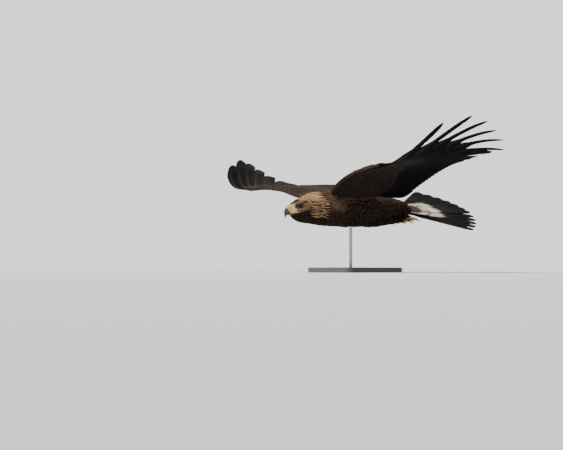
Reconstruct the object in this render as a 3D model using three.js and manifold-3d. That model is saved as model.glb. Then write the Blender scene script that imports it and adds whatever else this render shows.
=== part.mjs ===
// A golden eagle gliding with its wings spread, life size, on a plain display stand.
// Millimetres, +Z up. The bird faces -Y with its left wing to +X and stands on the origin,
// which is the centre of the base's underside.

import * as THREE from "three";
import { mergeVertices } from "three/addons/utils/BufferGeometryUtils.js";
import Module from "manifold-3d";

const wasm = await Module();
wasm.setup();

// Pose
const RIDE_HEIGHT = 262;
const BODY_ROLL = 5;
const HEAD_PITCH = 16;
const TAIL_ROLL = 24.5;
const GAP = 0.3;

// Where the body is parted
const FACE_Y = -297;
const NECK_FRONT_Y = -246;
const NECK_BACK_Y = -176;
const TAIL_Y = 205;
const SHOULDER_X = 92;
const WRIST_X = 352;
const SHOULDER_BACK_Y = 60;

// Stand
const BASE_LENGTH = 340;
const BASE_WIDTH = 260;
const BASE_THICK = 20;
const BASE_CORNER = 26;
const BASE_BEVEL = 2;
const ROD_RADIUS = 7;
const ROD_Y = -20;

// Materials
function finish(color, roughness, metalness = 0) {
  return new THREE.MeshStandardMaterial({ color, roughness, metalness });
}

const MATERIALS = {
  plumage: finish(0x4a3423, 0.85),
  nape: finish(0xb08a5a, 0.85),
  flight: finish(0x1e1a1c, 0.7),
  tail: finish(0x5d5650, 0.75),
  cere: finish(0xe8c23a, 0.45),
  horn: finish(0x23262c, 0.3),
  eye: finish(0x2a170c, 0.08),
  toe: finish(0xe3bd3c, 0.6),
  base: finish(0x2e2b29, 0.5),
  rod: finish(0x8c8f92, 0.3, 1),
};

// Small helpers
const radians = (degrees) => (degrees * Math.PI) / 180;
const lerp = THREE.MathUtils.lerp;
const clamp = THREE.MathUtils.clamp;
const smooth = (t) => THREE.MathUtils.smoothstep(t, 0, 1);

// A seeded draw between -1 and 1, the same on every run.
function makeRandom(seed) {
  let state = seed;
  return () => {
    state = (state * 1664525 + 1013904223) % 4294967296;
    return (state / 4294967296) * 2 - 1;
  };
}

// Reads a curve given by a few [position, value] stations, with straight runs between them.
function along(stations, at) {
  let k = 0;
  while (k < stations.length - 2 && at > stations[k + 1][0]) k += 1;
  const [from, low] = stations[k];
  const [to, high] = stations[k + 1];
  return lerp(low, high, clamp((at - from) / (to - from), 0, 1));
}

// The same stations read as one smooth curve, for what has to bend without a kink.
function flow(stations, at) {
  let k = 0;
  while (k < stations.length - 2 && at > stations[k + 1][0]) k += 1;
  const pick = (i) => stations[clamp(i, 0, stations.length - 1)];
  const grade = (i) => (pick(i + 1)[1] - pick(i - 1)[1]) / (pick(i + 1)[0] - pick(i - 1)[0]);
  const [from, low] = stations[k];
  const [to, high] = stations[k + 1];
  const span = to - from;
  const t = clamp((at - from) / span, 0, 1);
  const rest = 1 - t;
  const start = low * rest * rest * (1 + 2 * t) + grade(k) * span * t * rest * rest;
  const end = high * t * t * (1 + 2 * rest) - grade(k + 1) * span * t * t * rest;
  return start + end;
}

// Solids
function solidOf(geometry) {
  const bare = new THREE.BufferGeometry();
  bare.setAttribute("position", geometry.getAttribute("position").clone());
  if (geometry.index) bare.setIndex(geometry.index.clone());
  const merged = mergeVertices(bare, 1e-3);
  return new wasm.Manifold(
    new wasm.Mesh({
      numProp: 3,
      vertProperties: merged.getAttribute("position").array,
      triVerts: new Uint32Array(merged.index.array),
    }),
  );
}

function geometryOf(solid) {
  const mesh = solid.getMesh();
  const corners = new Float32Array(mesh.vertProperties);
  const geometry = new THREE.BufferGeometry();
  geometry.setAttribute("position", new THREE.BufferAttribute(corners, 3));
  geometry.setIndex(new THREE.BufferAttribute(new Uint32Array(mesh.triVerts), 1));
  return geometry;
}

const fuse = (solids) => solids.reduce((whole, piece) => whole.add(piece));

// The largest closed surface of a solid, so that a loose scrap is dropped.
function largest(solid) {
  return solid.decompose().reduce((best, body) => (body.volume() > best.volume() ? body : best));
}

const moved = (geometry, x, y, z) => geometry.clone().translate(x, y, z);

// A box between two corners.
function block(low, high) {
  const size = high.map((v, k) => v - low[k]);
  const middle = high.map((v, k) => (v + low[k]) / 2);
  return solidOf(moved(new THREE.BoxGeometry(...size), ...middle));
}

// The stretch of a solid between two positions along an axis (0 for X, 1 for Y).
const FAR = 2000;
const X_AXIS = 0;
const Y_AXIS = 1;

function between(solid, axis, from, to) {
  const low = [-FAR, -FAR, -FAR];
  const high = [FAR, FAR, FAR];
  low[axis] = from;
  high[axis] = to;
  return solid.intersect(block(low, high));
}

// A closed skin through rings of equally many points, capped flat at both ends.
// The rings go round counter-clockwise when seen from the last ring's side.
function loft(rings) {
  const count = rings[0].length;
  const points = rings.flat();
  const faces = [];
  for (let i = 0; i < rings.length - 1; i += 1) {
    for (let j = 0; j < count; j += 1) {
      const next = (j + 1) % count;
      const a = i * count + j;
      const b = i * count + next;
      const c = a + count;
      const d = b + count;
      faces.push(a, b, d, a, d, c);
    }
  }
  const last = (rings.length - 1) * count;
  for (let j = 1; j < count - 1; j += 1) {
    faces.push(0, j + 1, j);
    faces.push(last, last + j, last + j + 1);
  }
  return closed(points, faces);
}

// Builds the solid of a list of points and faces, turned right side out.
function closed(points, faces) {
  const make = (order) => {
    const geometry = new THREE.BufferGeometry();
    geometry.setAttribute("position", new THREE.Float32BufferAttribute(points.flat(), 3));
    geometry.setIndex(order);
    return solidOf(geometry);
  };
  const solid = make(faces);
  if (solid.volume() > 0) return solid;
  const turned = [];
  for (let k = 0; k < faces.length; k += 3) turned.push(faces[k], faces[k + 2], faces[k + 1]);
  return make(turned);
}

// A tapering round limb along a path of points, each with its own radius.
function limb(path, radii, sides) {
  const spots = path.map((p) => new THREE.Vector3(...p));
  const rings = spots.map((spot, k) => {
    const before = spots[Math.max(k - 1, 0)];
    const after = spots[Math.min(k + 1, spots.length - 1)];
    const ahead = after.clone().sub(before).normalize();
    const across = new THREE.Vector3(1, 0, 0).cross(ahead).normalize();
    const beside = ahead.clone().cross(across);
    return Array.from({ length: sides }, (_, j) => {
      const turn = (j * 2 * Math.PI) / sides;
      return spot
        .clone()
        .addScaledVector(across, Math.cos(turn) * radii[k])
        .addScaledVector(beside, Math.sin(turn) * radii[k])
        .toArray();
    });
  });
  return loft(rings);
}

// Body: one skin from the face to the tail root, as [y, top, bottom, half width]
const BODY_SECTIONS = [
  [-300, 13, -38, 13],
  [-292, 18, -45, 18.5],
  [-282, 25, -53, 24.5],
  [-268, 33.5, -60, 30],
  [-250, 42, -65, 36],
  [-225, 52, -69, 43],
  [-190, 62, -74, 53],
  [-150, 68, -78, 66],
  [-100, 72, -81, 78],
  [-40, 72, -83, 83],
  [20, 68, -82, 81],
  [80, 58, -75, 72],
  [140, 45, -64, 58],
  [185, 33, -54, 46],
  [215, 25, -46, 39],
];
const BODY_SIDES = 20;

function ovalRing(y, top, bottom, halfWidth) {
  const middle = (top + bottom) / 2;
  const halfHeight = (top - bottom) / 2;
  return Array.from({ length: BODY_SIDES }, (_, j) => {
    const turn = (j * 2 * Math.PI) / BODY_SIDES;
    return [Math.cos(turn) * halfWidth, y, middle + Math.sin(turn) * halfHeight];
  });
}

const bodyShape = () => loft(BODY_SECTIONS.map((section) => ovalRing(...section)));

// Head: everything on the face is set in its own level frame, then pitched down about the eyes.
const EYE_Y = -277;
const EYE_Z = 2;
const EYE_X = 18.5;
const EYE_RADIUS = 8.5;
const LID_RADIUS = 7.6;
const LID_THICK = 1.5;
const LID_LONG = 1.12;
const LID_LOW = 0.92;
const LID_OUT = 5.2;
const LID_TURN = 12;
const FACE_SIDES = 12;

// A point of the face from its distance ahead of the eyes, its height over them and its side.
function facePoint(side, ahead, above) {
  const pitch = radians(HEAD_PITCH);
  const y = -(ahead * Math.cos(pitch) + above * Math.sin(pitch));
  const z = above * Math.cos(pitch) - ahead * Math.sin(pitch);
  return [side, EYE_Y + y, EYE_Z + z];
}

// Bill sections: [ahead, above, half width, half height, lean in degrees]
const UPPER_BILL = [
  [8, 1, 15.5, 18, 0],
  [24, 0.5, 12.8, 15.5, 0],
  [32, 0, 11, 14.4, 6],
  [40, -3, 8.8, 12.2, 22],
  [47, -9.5, 6.4, 9.2, 44],
  [52.5, -17.5, 4.1, 6.2, 68],
  [55, -25.5, 2.3, 3.3, 88],
  [54.5, -33, 0.5, 0.6, 104],
];
const LOWER_BILL = [
  [8, -21, 12.4, 4.4, 0],
  [24, -20.4, 10.4, 4.2, 0],
  [36, -19.4, 7.8, 3.8, 0],
  [44, -18.8, 4.8, 2.8, 0],
  [49, -18.6, 1.6, 1.2, 0],
];
const CERE_AHEAD = 36;

function billShape(sections, grow = 0) {
  const rings = sections.map(([ahead, above, wide, high, lean]) => {
    const tilt = radians(lean);
    return Array.from({ length: FACE_SIDES }, (_, j) => {
      const turn = (j * 2 * Math.PI) / FACE_SIDES;
      const up = Math.sin(turn) * (high + grow);
      return facePoint(
        Math.cos(turn) * (wide + grow),
        ahead + up * Math.sin(tilt),
        above + up * Math.cos(tilt),
      );
    });
  });
  return loft(rings);
}

// Everything ahead of a plane that is square to the bill.
const PLANE_REACH = 200;

function aheadOf(distance) {
  const box = new THREE.BoxGeometry(PLANE_REACH, PLANE_REACH, PLANE_REACH);
  box.translate(0, -PLANE_REACH / 2 - distance, 0);
  box.rotateX(radians(HEAD_PITCH));
  box.translate(0, EYE_Y, EYE_Z);
  return solidOf(box);
}

const eyeShape = (side, radius) =>
  solidOf(moved(new THREE.SphereGeometry(radius, 12, 7), side * EYE_X, EYE_Y, EYE_Z));

// The rim of lids that frames an eye, almond shaped and a little longer than it is high.
function lidShape(side) {
  const rim = new THREE.TorusGeometry(LID_RADIUS, LID_THICK, 5, 12);
  rim.scale(LID_LONG, LID_LOW, 1);
  rim.rotateY(Math.PI / 2);
  rim.rotateZ(radians(side * LID_TURN));
  rim.rotateX(radians(HEAD_PITCH));
  rim.translate(side * (EYE_X + LID_OUT), EYE_Y, EYE_Z);
  return solidOf(rim);
}

// The bony brow that shades the eye, from the lores back over the temple: [side, ahead, above].
const BROW_PATH = [[11, 17, 8], [18, 9, 9.5], [23.5, 0, 10], [24.5, -11, 8], [21, -20, 5]];
const BROW_RADII = [2, 3.4, 3.8, 3.4, 1.5];
const BROW_SIDES = 6;

function browShape(side) {
  const path = BROW_PATH.map(([out, ahead, above]) => facePoint(side * out, ahead, above));
  return limb(path, BROW_RADII, BROW_SIDES);
}

// The groove that carries the line of the mouth back under the eye.
const GROOVE_SIZE = [8, 34, 1.4];
const GROOVE_PLACE = [22.5, 12, -16.8];
const GROOVE_TURN = 38;

function mouthGroove(side) {
  const [out, ahead, above] = GROOVE_PLACE;
  const groove = new THREE.BoxGeometry(...GROOVE_SIZE);
  groove.rotateZ(radians(side * GROOVE_TURN));
  groove.rotateX(radians(HEAD_PITCH));
  groove.translate(...facePoint(side * out, ahead, above));
  return solidOf(groove);
}

const NOSTRIL_RADIUS = 2;
const NOSTRIL_PLACE = [12, 27.5, 2];

function nostrilHole(side) {
  const [out, ahead, above] = NOSTRIL_PLACE;
  const hole = new THREE.SphereGeometry(NOSTRIL_RADIUS, 8, 6);
  hole.scale(1.2, 0.8, 1.4);
  hole.translate(...facePoint(side * out, ahead, above));
  return solidOf(hole);
}

function headShape() {
  let head = between(bodyShape(), Y_AXIS, FACE_Y, NECK_FRONT_Y);
  for (const side of [-1, 1]) {
    head = head.add(browShape(side));
    head = head.add(lidShape(side));
  }
  for (const side of [-1, 1]) {
    head = head.subtract(eyeShape(side, EYE_RADIUS + GAP));
    head = head.subtract(mouthGroove(side));
  }
  return largest(between(head, Y_AXIS, FACE_Y, NECK_FRONT_Y));
}

const neckShape = () => between(bodyShape(), Y_AXIS, NECK_FRONT_Y + GAP, NECK_BACK_Y);

const beyondFace = (solid) => between(solid, Y_AXIS, -FAR, FACE_Y - GAP);

function cereShape() {
  let cere = beyondFace(billShape(UPPER_BILL)).subtract(aheadOf(CERE_AHEAD));
  for (const side of [-1, 1]) cere = cere.subtract(nostrilHole(side));
  return largest(cere);
}

function upperBillShape() {
  return largest(billShape(UPPER_BILL).intersect(aheadOf(CERE_AHEAD + GAP)));
}

function lowerBillShape() {
  return largest(beyondFace(billShape(LOWER_BILL)).subtract(billShape(UPPER_BILL, GAP)));
}

// Wing: made on the left side, the right one mirrored. All stations are [x, value].
const LEADING_EDGE = [
  [60, -128], [92, -166], [150, -195], [250, -205], [350, -203], [450, -202], [532, -196],
];
const CORE_BACK = [
  [60, 36], [92, 28], [150, 8], [200, -22], [250, -68], [300, -108], [352, -130], [450, -150], [532, -166],
];
const CORE_HALF = [[60, 21], [150, 17], [200, 15], [250, 13.5], [352, 12], [450, 10], [532, 8]];
const FRONT_HEIGHT = [
  [60, 42], [150, 60], [250, 90], [350, 109], [450, 116], [550, 124], [650, 127], [950, 140],
];
const REAR_HEIGHT = [
  [60, 28], [92, 36], [120, 48], [150, 60], [250, 86], [350, 111], [450, 130], [600, 143], [850, 145], [950, 150],
];
const WING_FRONT_Y = -200;
const WING_REAR_Y = 200;
const FINGER_START_X = 550;

// How each hand is held. The outer primaries part at fingerAt, from the innermost finger to the
// outermost, and are narrowed and twisted beyond it. Lift bends them up, most towards the front.
// Bow arches them forward and fold draws their tips back. The right hand is held the closer.
const HANDS = {
  left: {
    fingerAt: [0.58, 0.48],
    fingerShare: 0.6,
    twist: -0.5,
    lift: 1.04,
    liftFall: 0.0048,
    bow: 14,
    fold: 0,
  },
  right: {
    fingerAt: [0.68, 0.64],
    fingerShare: 0.82,
    twist: -0.25,
    lift: 1.02,
    liftFall: 0.0038,
    bow: 42,
    fold: 16,
  },
};

// Height of a wing's middle surface over the plan, which carries every one of its feathers.
function heightOf(hand) {
  return (x, y) => {
    const front = flow(FRONT_HEIGHT, x);
    const rear = flow(REAR_HEIGHT, x);
    const flat = lerp(front, rear, (y - WING_FRONT_Y) / (WING_REAR_Y - WING_FRONT_Y));
    const reach = Math.max(0, x - FINGER_START_X);
    const rise = Math.max(0, hand.lift - hand.liftFall * y);
    return flat + (reach * reach * rise) / 1000;
  };
}

// Both wings are alike as far out as the wrist.
const wingHeight = heightOf(HANDS.left);

// Arm and hand without feathers, as a rounded section from [share of chord, share of thickness].
const CORE_OUTLINE = [[0, 0], [0.07, 0.6], [0.28, 1], [0.65, 0.92], [1, 0.55]];
const CORE_STATIONS = [60, 92, 125, 160, 200, 250, 300, 352, 400, 460, 505, 532];

function coreShape() {
  const rings = CORE_STATIONS.map((x) => {
    const front = flow(LEADING_EDGE, x);
    const back = flow(CORE_BACK, x);
    const half = flow(CORE_HALF, x);
    const spot = ([share, thick]) => {
      const y = lerp(front, back, share);
      return [x, y, wingHeight(x, y) + thick * half];
    };
    const above = CORE_OUTLINE.map(spot);
    const below = CORE_OUTLINE.slice(1).reverse().map(([share, thick]) => spot([share, -thick]));
    return [...above, ...below];
  });
  return loft(rings);
}

// A vane is a thin plate, wide between a narrow root and a rounded tip, split alike on both faces.
// Its columns run along the leading edge, the shaft and the trailing edge.
function plateOf(tops, bottoms) {
  const rows = tops.length;
  const columns = tops[0].length;
  const points = [...tops.flat(), ...bottoms.flat()];
  const under = rows * columns;
  const faces = [];
  const quad = (a, b, c, d) => faces.push(a, b, c, a, c, d);
  for (let i = 0; i < rows - 1; i += 1) {
    for (let j = 0; j < columns - 1; j += 1) {
      const a = i * columns + j;
      const b = a + 1;
      const d = a + columns;
      const c = d + 1;
      quad(a, b, c, d);
      faces.push(under + a, under + c, under + b, under + a, under + d, under + c);
    }
    const lead = i * columns;
    const trail = lead + columns - 1;
    quad(lead, lead + columns, under + lead + columns, under + lead);
    quad(trail, under + trail, under + trail + columns, trail + columns);
  }
  for (let j = 0; j < columns - 1; j += 1) {
    const end = (rows - 1) * columns + j;
    quad(j, under + j, under + j + 1, j + 1);
    quad(end, end + 1, under + end + 1, under + end);
  }
  return closed(points, faces);
}

// Share of the full width at a share of the length, for a long flight feather and for a covert.
const FLIGHT_WIDTH = [[0, 0.14], [0.1, 0.3], [0.24, 0.85], [0.4, 1], [0.8, 0.96], [0.94, 0.66], [1, 0.22]];
const COVERT_WIDTH = [[0, 0.4], [0.35, 0.9], [0.75, 1], [0.93, 0.66], [1, 0.3]];

// Lays a vane over a surface in plan.
// Cross slope lifts its leading edge, so that each vane passes over its outer neighbour.
function vane(options) {
  const {
    root, tip, width, leadShare, profile, stations, shaftThick, edgeThick, slope, offset, sweep = 0,
    surface, fingerAt = UNPARTED, fingerShare = 1, fingerSlope = 0, ribbed = true, leadSign = 1,
  } = options;
  const run = [tip[0] - root[0], tip[1] - root[1]];
  const length = Math.hypot(...run);
  const ahead = [run[0] / length, run[1] / length];
  const lead = [ahead[1] * leadSign, -ahead[0] * leadSign];
  const columns = ribbed ? [1, 0, -1] : [1, -1];
  const tops = [];
  const bottoms = [];
  for (const t of stations) {
    const bow = sweep * 4 * t * (1 - t);
    const middle = [0, 1].map((k) => root[k] + run[k] * t + lead[k] * bow);
    const past = smooth((t - fingerAt) / FINGER_TAPER);
    const wide = width * along(profile, t) * lerp(1, fingerShare, past);
    const cross = lerp(slope, fingerSlope, past);
    const rowTop = [];
    const rowBottom = [];
    for (const column of columns) {
      const away = column > 0 ? wide * leadShare : -wide * (1 - leadShare) * Math.abs(column);
      const reach = column === 0 ? 0 : away;
      const x = middle[0] + lead[0] * reach;
      const y = middle[1] + lead[1] * reach;
      const thick = column === 0 ? lerp(shaftThick, edgeThick, t) : edgeThick;
      const z = surface(x, y) + offset(t) + cross * reach;
      rowTop.push([x, y, z + thick / 2]);
      rowBottom.push([x, y, z - thick / 2]);
    }
    tops.push(rowTop);
    bottoms.push(rowBottom);
  }
  return plateOf(tops, bottoms);
}

// Flight feathers
const PRIMARY_TIPS = [
  [540, 197], [598, 196], [655, 186], [780, 182], [850, 197],
  [918, 155], [940, 111], [950, 67], [928, 9], [850, -80],
];
const PRIMARY_WIDTH = 58;
const PRIMARY_ROOT_X = [366, 516];
const PRIMARY_SUNK = 16;
const FINGER_COUNT = 5;
const FINGER_TAPER = 0.16;
const UNPARTED = 2;
const FOLD_FROM = 0.55;
const FLIGHT_SLOPE = 0.1;
const SHAFT_THICK = 2;
const EDGE_THICK = 0.7;
const PRIMARY_STATIONS = [0, 0.24, 0.47, 0.63, 0.8, 0.94, 1];
const SECONDARY_STATIONS = [0, 0.22, 0.6, 0.91, 1];
const SECONDARY_COUNT = 13;
const SECONDARY_ROOT_X = [150, 335];
const SECONDARY_TIP_X = [128, 492];
const SECONDARY_WIDTH = 50;
const TERTIAL_COUNT = 2;
const ARM_TIP_Y = 197;
const ARM_SUNK = 20;
const TERTIAL_ROOT_X = 116;
const TERTIAL_TIP_X = 96;
const TERTIAL_TIP_Y = 186;
const level = (height) => () => height;

// The outermost primaries lie ever lower, each under its inner neighbour.
const STACK_FROM = 0.45;
const STACK_DROP = 6.5;
const stackDrop = (share) => (STACK_DROP * Math.max(0, share - STACK_FROM)) / (1 - STACK_FROM);

function primaries(hand) {
  const last = PRIMARY_TIPS.length - 1;
  return PRIMARY_TIPS.map((tip, k) => {
    const share = k / last;
    const x = lerp(...PRIMARY_ROOT_X, share);
    const finger = 1 - (last - k) / (FINGER_COUNT - 1);
    const fold = (hand.fold * Math.max(0, share - FOLD_FROM)) / (1 - FOLD_FROM);
    return vane({
      root: [x, flow(CORE_BACK, x) - PRIMARY_SUNK * (1 - 0.3 * share)],
      tip: [tip[0], tip[1] + fold],
      width: PRIMARY_WIDTH - 8 * share,
      leadShare: lerp(0.4, 0.28, share),
      profile: FLIGHT_WIDTH,
      stations: PRIMARY_STATIONS,
      shaftThick: SHAFT_THICK,
      edgeThick: EDGE_THICK,
      slope: FLIGHT_SLOPE,
      offset: level(-stackDrop(share)),
      sweep: lerp(2, hand.bow, share * share),
      surface: heightOf(hand),
      fingerAt: finger < 0 ? UNPARTED : lerp(...hand.fingerAt, finger),
      fingerShare: hand.fingerShare,
      fingerSlope: hand.twist,
    });
  });
}

// Root and tip of a flight feather of the arm, from the body (0) to the wrist (1).
function armLine(share) {
  const x = lerp(...SECONDARY_ROOT_X, share);
  return {
    root: [x, flow(CORE_BACK, x) - ARM_SUNK],
    tip: [lerp(...SECONDARY_TIP_X, share), ARM_TIP_Y - 3 * Math.sin(share * Math.PI)],
  };
}

// The same line on the hand, from the wrist (0) to the outermost primary (1).
function handLine(share) {
  const place = share * (PRIMARY_TIPS.length - 1);
  const k = Math.min(Math.floor(place), PRIMARY_TIPS.length - 2);
  const x = lerp(...PRIMARY_ROOT_X, share);
  return {
    root: [x, flow(CORE_BACK, x) - PRIMARY_SUNK],
    tip: [0, 1].map((i) => lerp(PRIMARY_TIPS[k][i], PRIMARY_TIPS[k + 1][i], place - k)),
  };
}

const armFeather = (root, tip) =>
  vane({
    root,
    tip,
    width: SECONDARY_WIDTH,
    leadShare: 0.42,
    profile: FLIGHT_WIDTH,
    stations: SECONDARY_STATIONS,
    shaftThick: SHAFT_THICK,
    edgeThick: EDGE_THICK,
    slope: FLIGHT_SLOPE,
    offset: level(0),
    surface: wingHeight,
  });

function secondaries() {
  return Array.from({ length: SECONDARY_COUNT }, (_, k) => {
    const { root, tip } = armLine(k / (SECONDARY_COUNT - 1));
    return armFeather(root, tip);
  });
}

// The tertials droop from the inner wing down beside the back.
function tertials() {
  return Array.from({ length: TERTIAL_COUNT }, (_, k) => {
    const inward = (k + 1) / TERTIAL_COUNT;
    const x = lerp(SECONDARY_ROOT_X[0], TERTIAL_ROOT_X, inward);
    const tipX = lerp(SECONDARY_TIP_X[0], TERTIAL_TIP_X, inward);
    const tipY = lerp(ARM_TIP_Y, TERTIAL_TIP_Y, inward);
    return armFeather([x, flow(CORE_BACK, x) - ARM_SUNK - 2], [tipX, tipY]);
  });
}

// Coverts: each tier runs along a line of flight feathers, above (1) or below (-1) the wing.
const COVERT_STATIONS = [0, 0.35, 0.8, 1];
const SHORT_COVERT_STATIONS = [0, 0.72, 1];
const COVERT_THICK = 0.8;
const COVERT_SLOPE = 0.07;
const ARM_TIERS = [
  { count: 13, from: 0.02, to: 0.46, width: 36, height: 5, face: 1 },
  { count: 10, from: -0.06, to: 0.25, width: 40, height: 10, face: 1, short: true },
  { count: 12, from: 0.02, to: 0.42, width: 38, height: 5, face: -1 },
  { count: 9, from: -0.06, to: 0.22, width: 42, height: 10, face: -1, short: true },
];
const ARM_TIER_SPAN = [0.04, 0.97];
const ARM_SEED = 11;
const HAND_TIERS = [
  { count: 8, from: 0.02, to: 0.33, width: 26, height: 6.2, face: 1 },
  { count: 8, from: 0.02, to: 0.31, width: 26, height: 6.2, face: -1 },
];
const HAND_TIER_SPAN = [0.03, 0.94];
const HAND_SEED = 31;

function tierShapes(tier, line, shares, seed, drop = () => 0) {
  const draw = makeRandom(seed);
  return Array.from({ length: tier.count }, (_, k) => {
    const share = lerp(...shares, k / (tier.count - 1));
    const { root, tip } = line(share);
    const at = (part) => [0, 1].map((i) => lerp(root[i], tip[i], part));
    const start = at(tier.from);
    const thin = flow(CORE_HALF, start[0]) / flow(CORE_HALF, WRIST_X);
    return vane({
      root: start,
      tip: at(tier.to + 0.012 * draw()),
      width: tier.width * (1 + 0.04 * draw()),
      leadShare: 0.45,
      profile: COVERT_WIDTH,
      stations: tier.short ? SHORT_COVERT_STATIONS : COVERT_STATIONS,
      shaftThick: COVERT_THICK,
      edgeThick: COVERT_THICK,
      slope: COVERT_SLOPE,
      offset: level(tier.face * tier.height * clamp(thin, 0.9, 1) - drop(share)),
      surface: wingHeight,
      ribbed: false,
    });
  });
}

// The alula: three stiff feathers that lie along the front of the hand.
const ALULA_COUNT = 3;
const ALULA_WIDTH = 19;
const ALULA_THICK = 1;
const ALULA_ROOT = [WRIST_X + 8, -184];
const ALULA_ROOT_STEP = [4, 9];
const ALULA_TIP = [WRIST_X + 118, -190];
const ALULA_TIP_STEP = [-22, 13];

function alula() {
  const at = (first, step, k) => [0, 1].map((i) => first[i] + step[i] * k);
  return Array.from({ length: ALULA_COUNT }, (_, k) =>
    vane({
      root: at(ALULA_ROOT, ALULA_ROOT_STEP, k),
      tip: at(ALULA_TIP, ALULA_TIP_STEP, k),
      width: ALULA_WIDTH,
      leadShare: 0.45,
      profile: COVERT_WIDTH,
      stations: COVERT_STATIONS,
      shaftThick: ALULA_THICK,
      edgeThick: ALULA_THICK,
      slope: 0,
      offset: (t) => 6 + (8 + 1.6 * k) * smooth(t / 0.35) - 2 * t,
      surface: wingHeight,
      ribbed: false,
    }),
  );
}

function armShape() {
  const core = between(coreShape(), X_AXIS, SHOULDER_X + GAP, WRIST_X);
  const tiers = ARM_TIERS.map((tier, k) => tierShapes(tier, armLine, ARM_TIER_SPAN, ARM_SEED + k));
  const feathered = fuse([core, ...secondaries(), ...tertials(), ...tiers.flat()]);
  const shoulder = block([-FAR, -FAR, -FAR], [SHOULDER_X + GAP, SHOULDER_BACK_Y, FAR]);
  return largest(feathered.subtract(shoulder));
}

function handShape(hand) {
  const core = between(coreShape(), X_AXIS, WRIST_X + GAP, FAR);
  const tiers = HAND_TIERS.map((tier, k) =>
    tierShapes(tier, handLine, HAND_TIER_SPAN, HAND_SEED + k, stackDrop),
  );
  return largest(fuse([core, ...primaries(hand), ...tiers.flat(), ...alula()]));
}

// Torso: the middle of the body with a stump for each wing.
function torsoShape(legsCut) {
  const stump = between(coreShape(), X_AXIS, 0, SHOULDER_X);
  const trunk = between(bodyShape(), Y_AXIS, NECK_BACK_Y + GAP, TAIL_Y - GAP);
  let torso = trunk.add(stump).add(stump.mirror([1, 0, 0]));
  for (const cut of legsCut) torso = torso.subtract(cut);
  return largest(torso);
}

// Legs: feathered to the toes and laid back under the tail.
const LEG_X = 30;
const LEG_PATH = [[24, -50], [52, -57], [92, -58], [136, -54], [172, -50], [204, -48]];
const LEG_RADII = [8, 17, 20, 19, 15.5, 12];
const LEG_SIDES = 12;
const FOOT_START_Y = 198;

function legLimb(side, grow = 0) {
  const path = LEG_PATH.map(([y, z]) => [side * LEG_X, y, z]);
  return limb(path, LEG_RADII.map((r) => r + grow), LEG_SIDES);
}

const legShape = (side) => largest(between(legLimb(side), Y_AXIS, -FAR, FOOT_START_Y));

// Foot: a short palm with four toes that curl loosely back and in, each with its talon.
const TOES = [
  { name: "inner", aside: -9, start: 216, length: 36, hang: -1, drop: 3, radius: 5.4, turn: -6 },
  { name: "middle", aside: 0, start: 220, length: 44, hang: 0, drop: 3, radius: 5.2, turn: 0 },
  { name: "outer", aside: 9, start: 216, length: 36, hang: 0, drop: 3, radius: 4.8, turn: 7 },
  { name: "hind", aside: -2, start: 208, length: 26, hang: -10, drop: 0, radius: 5.2, turn: -1 },
];
const TOE_REACHES = [-0.25, 0.25, 0.6, 0.85, 1];
const TOE_BULGE = [0.9, 1, 0.96, 0.86, 0.72];
const TOE_SIDES = 7;
const TALON_REACHES = [0, 0.25, 0.5, 0.75, 1];
const TALON_TAPER = [1, 0.84, 0.62, 0.36, 0.1];
const TALON_LENGTH = 22;
const TALON_BEND = radians(42);
const TALON_ROOT = 0.66;
const TALON_SUNK = 3;
const TALON_SIDES = 6;
const FOOT_Z = -49;
const PALM_PATH = [[FOOT_START_Y - 6, -49], [208, -53], [221, -54]];
const PALM_RADII = [11, 12, 9];
const PALM_SIDES = 10;

// The line of a toe and of the talon that goes on from it.
function toePath(side, toe, reach) {
  const run = toe.length * reach;
  const x = side * (LEG_X + toe.aside) + side * toe.turn * reach;
  const y = toe.start + run;
  const z = FOOT_Z + toe.hang + 2 * Math.sin(reach * Math.PI) - toe.drop * reach * reach;
  return [x, y, z];
}

function toeShape(side, toe) {
  const path = TOE_REACHES.map((reach) => toePath(side, toe, reach));
  return limb(path, TOE_BULGE.map((bulge) => bulge * toe.radius), TOE_SIDES);
}

function footShape(side) {
  const path = PALM_PATH.map(([y, z]) => [side * LEG_X, y, z]);
  const palm = limb(path, PALM_RADII, PALM_SIDES);
  const foot = fuse([palm, ...TOES.map((toe) => toeShape(side, toe))]);
  return largest(between(foot, Y_AXIS, FOOT_START_Y + GAP, FAR));
}

// Everything beyond a toe's end, square to the toe.
function beyondToe(end, ahead) {
  const square = new THREE.BoxGeometry(60, 60, 60);
  square.translate(0, 30, 0);
  square.applyQuaternion(new THREE.Quaternion().setFromUnitVectors(new THREE.Vector3(0, 1, 0), ahead));
  square.translate(...end.clone().addScaledVector(ahead, GAP).toArray());
  return solidOf(square);
}

function talonShape(side, toe, foot) {
  const end = new THREE.Vector3(...toePath(side, toe, 1));
  const before = new THREE.Vector3(...toePath(side, toe, 0.85));
  const ahead = end.clone().sub(before).normalize();
  const path = TALON_REACHES.map((t) => {
    const bend = TALON_BEND * t;
    const forward = (Math.sin(bend) / TALON_BEND) * TALON_LENGTH - TALON_SUNK;
    const fall = ((1 - Math.cos(bend)) / TALON_BEND) * TALON_LENGTH;
    const spot = end.clone().addScaledVector(ahead, forward);
    return [spot.x, spot.y, spot.z - fall];
  });
  const radii = TALON_TAPER.map((share) => share * toe.radius * TALON_ROOT);
  const talon = limb(path, radii, TALON_SIDES);
  return largest(talon.intersect(beyondToe(end, ahead)).subtract(foot));
}

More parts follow.
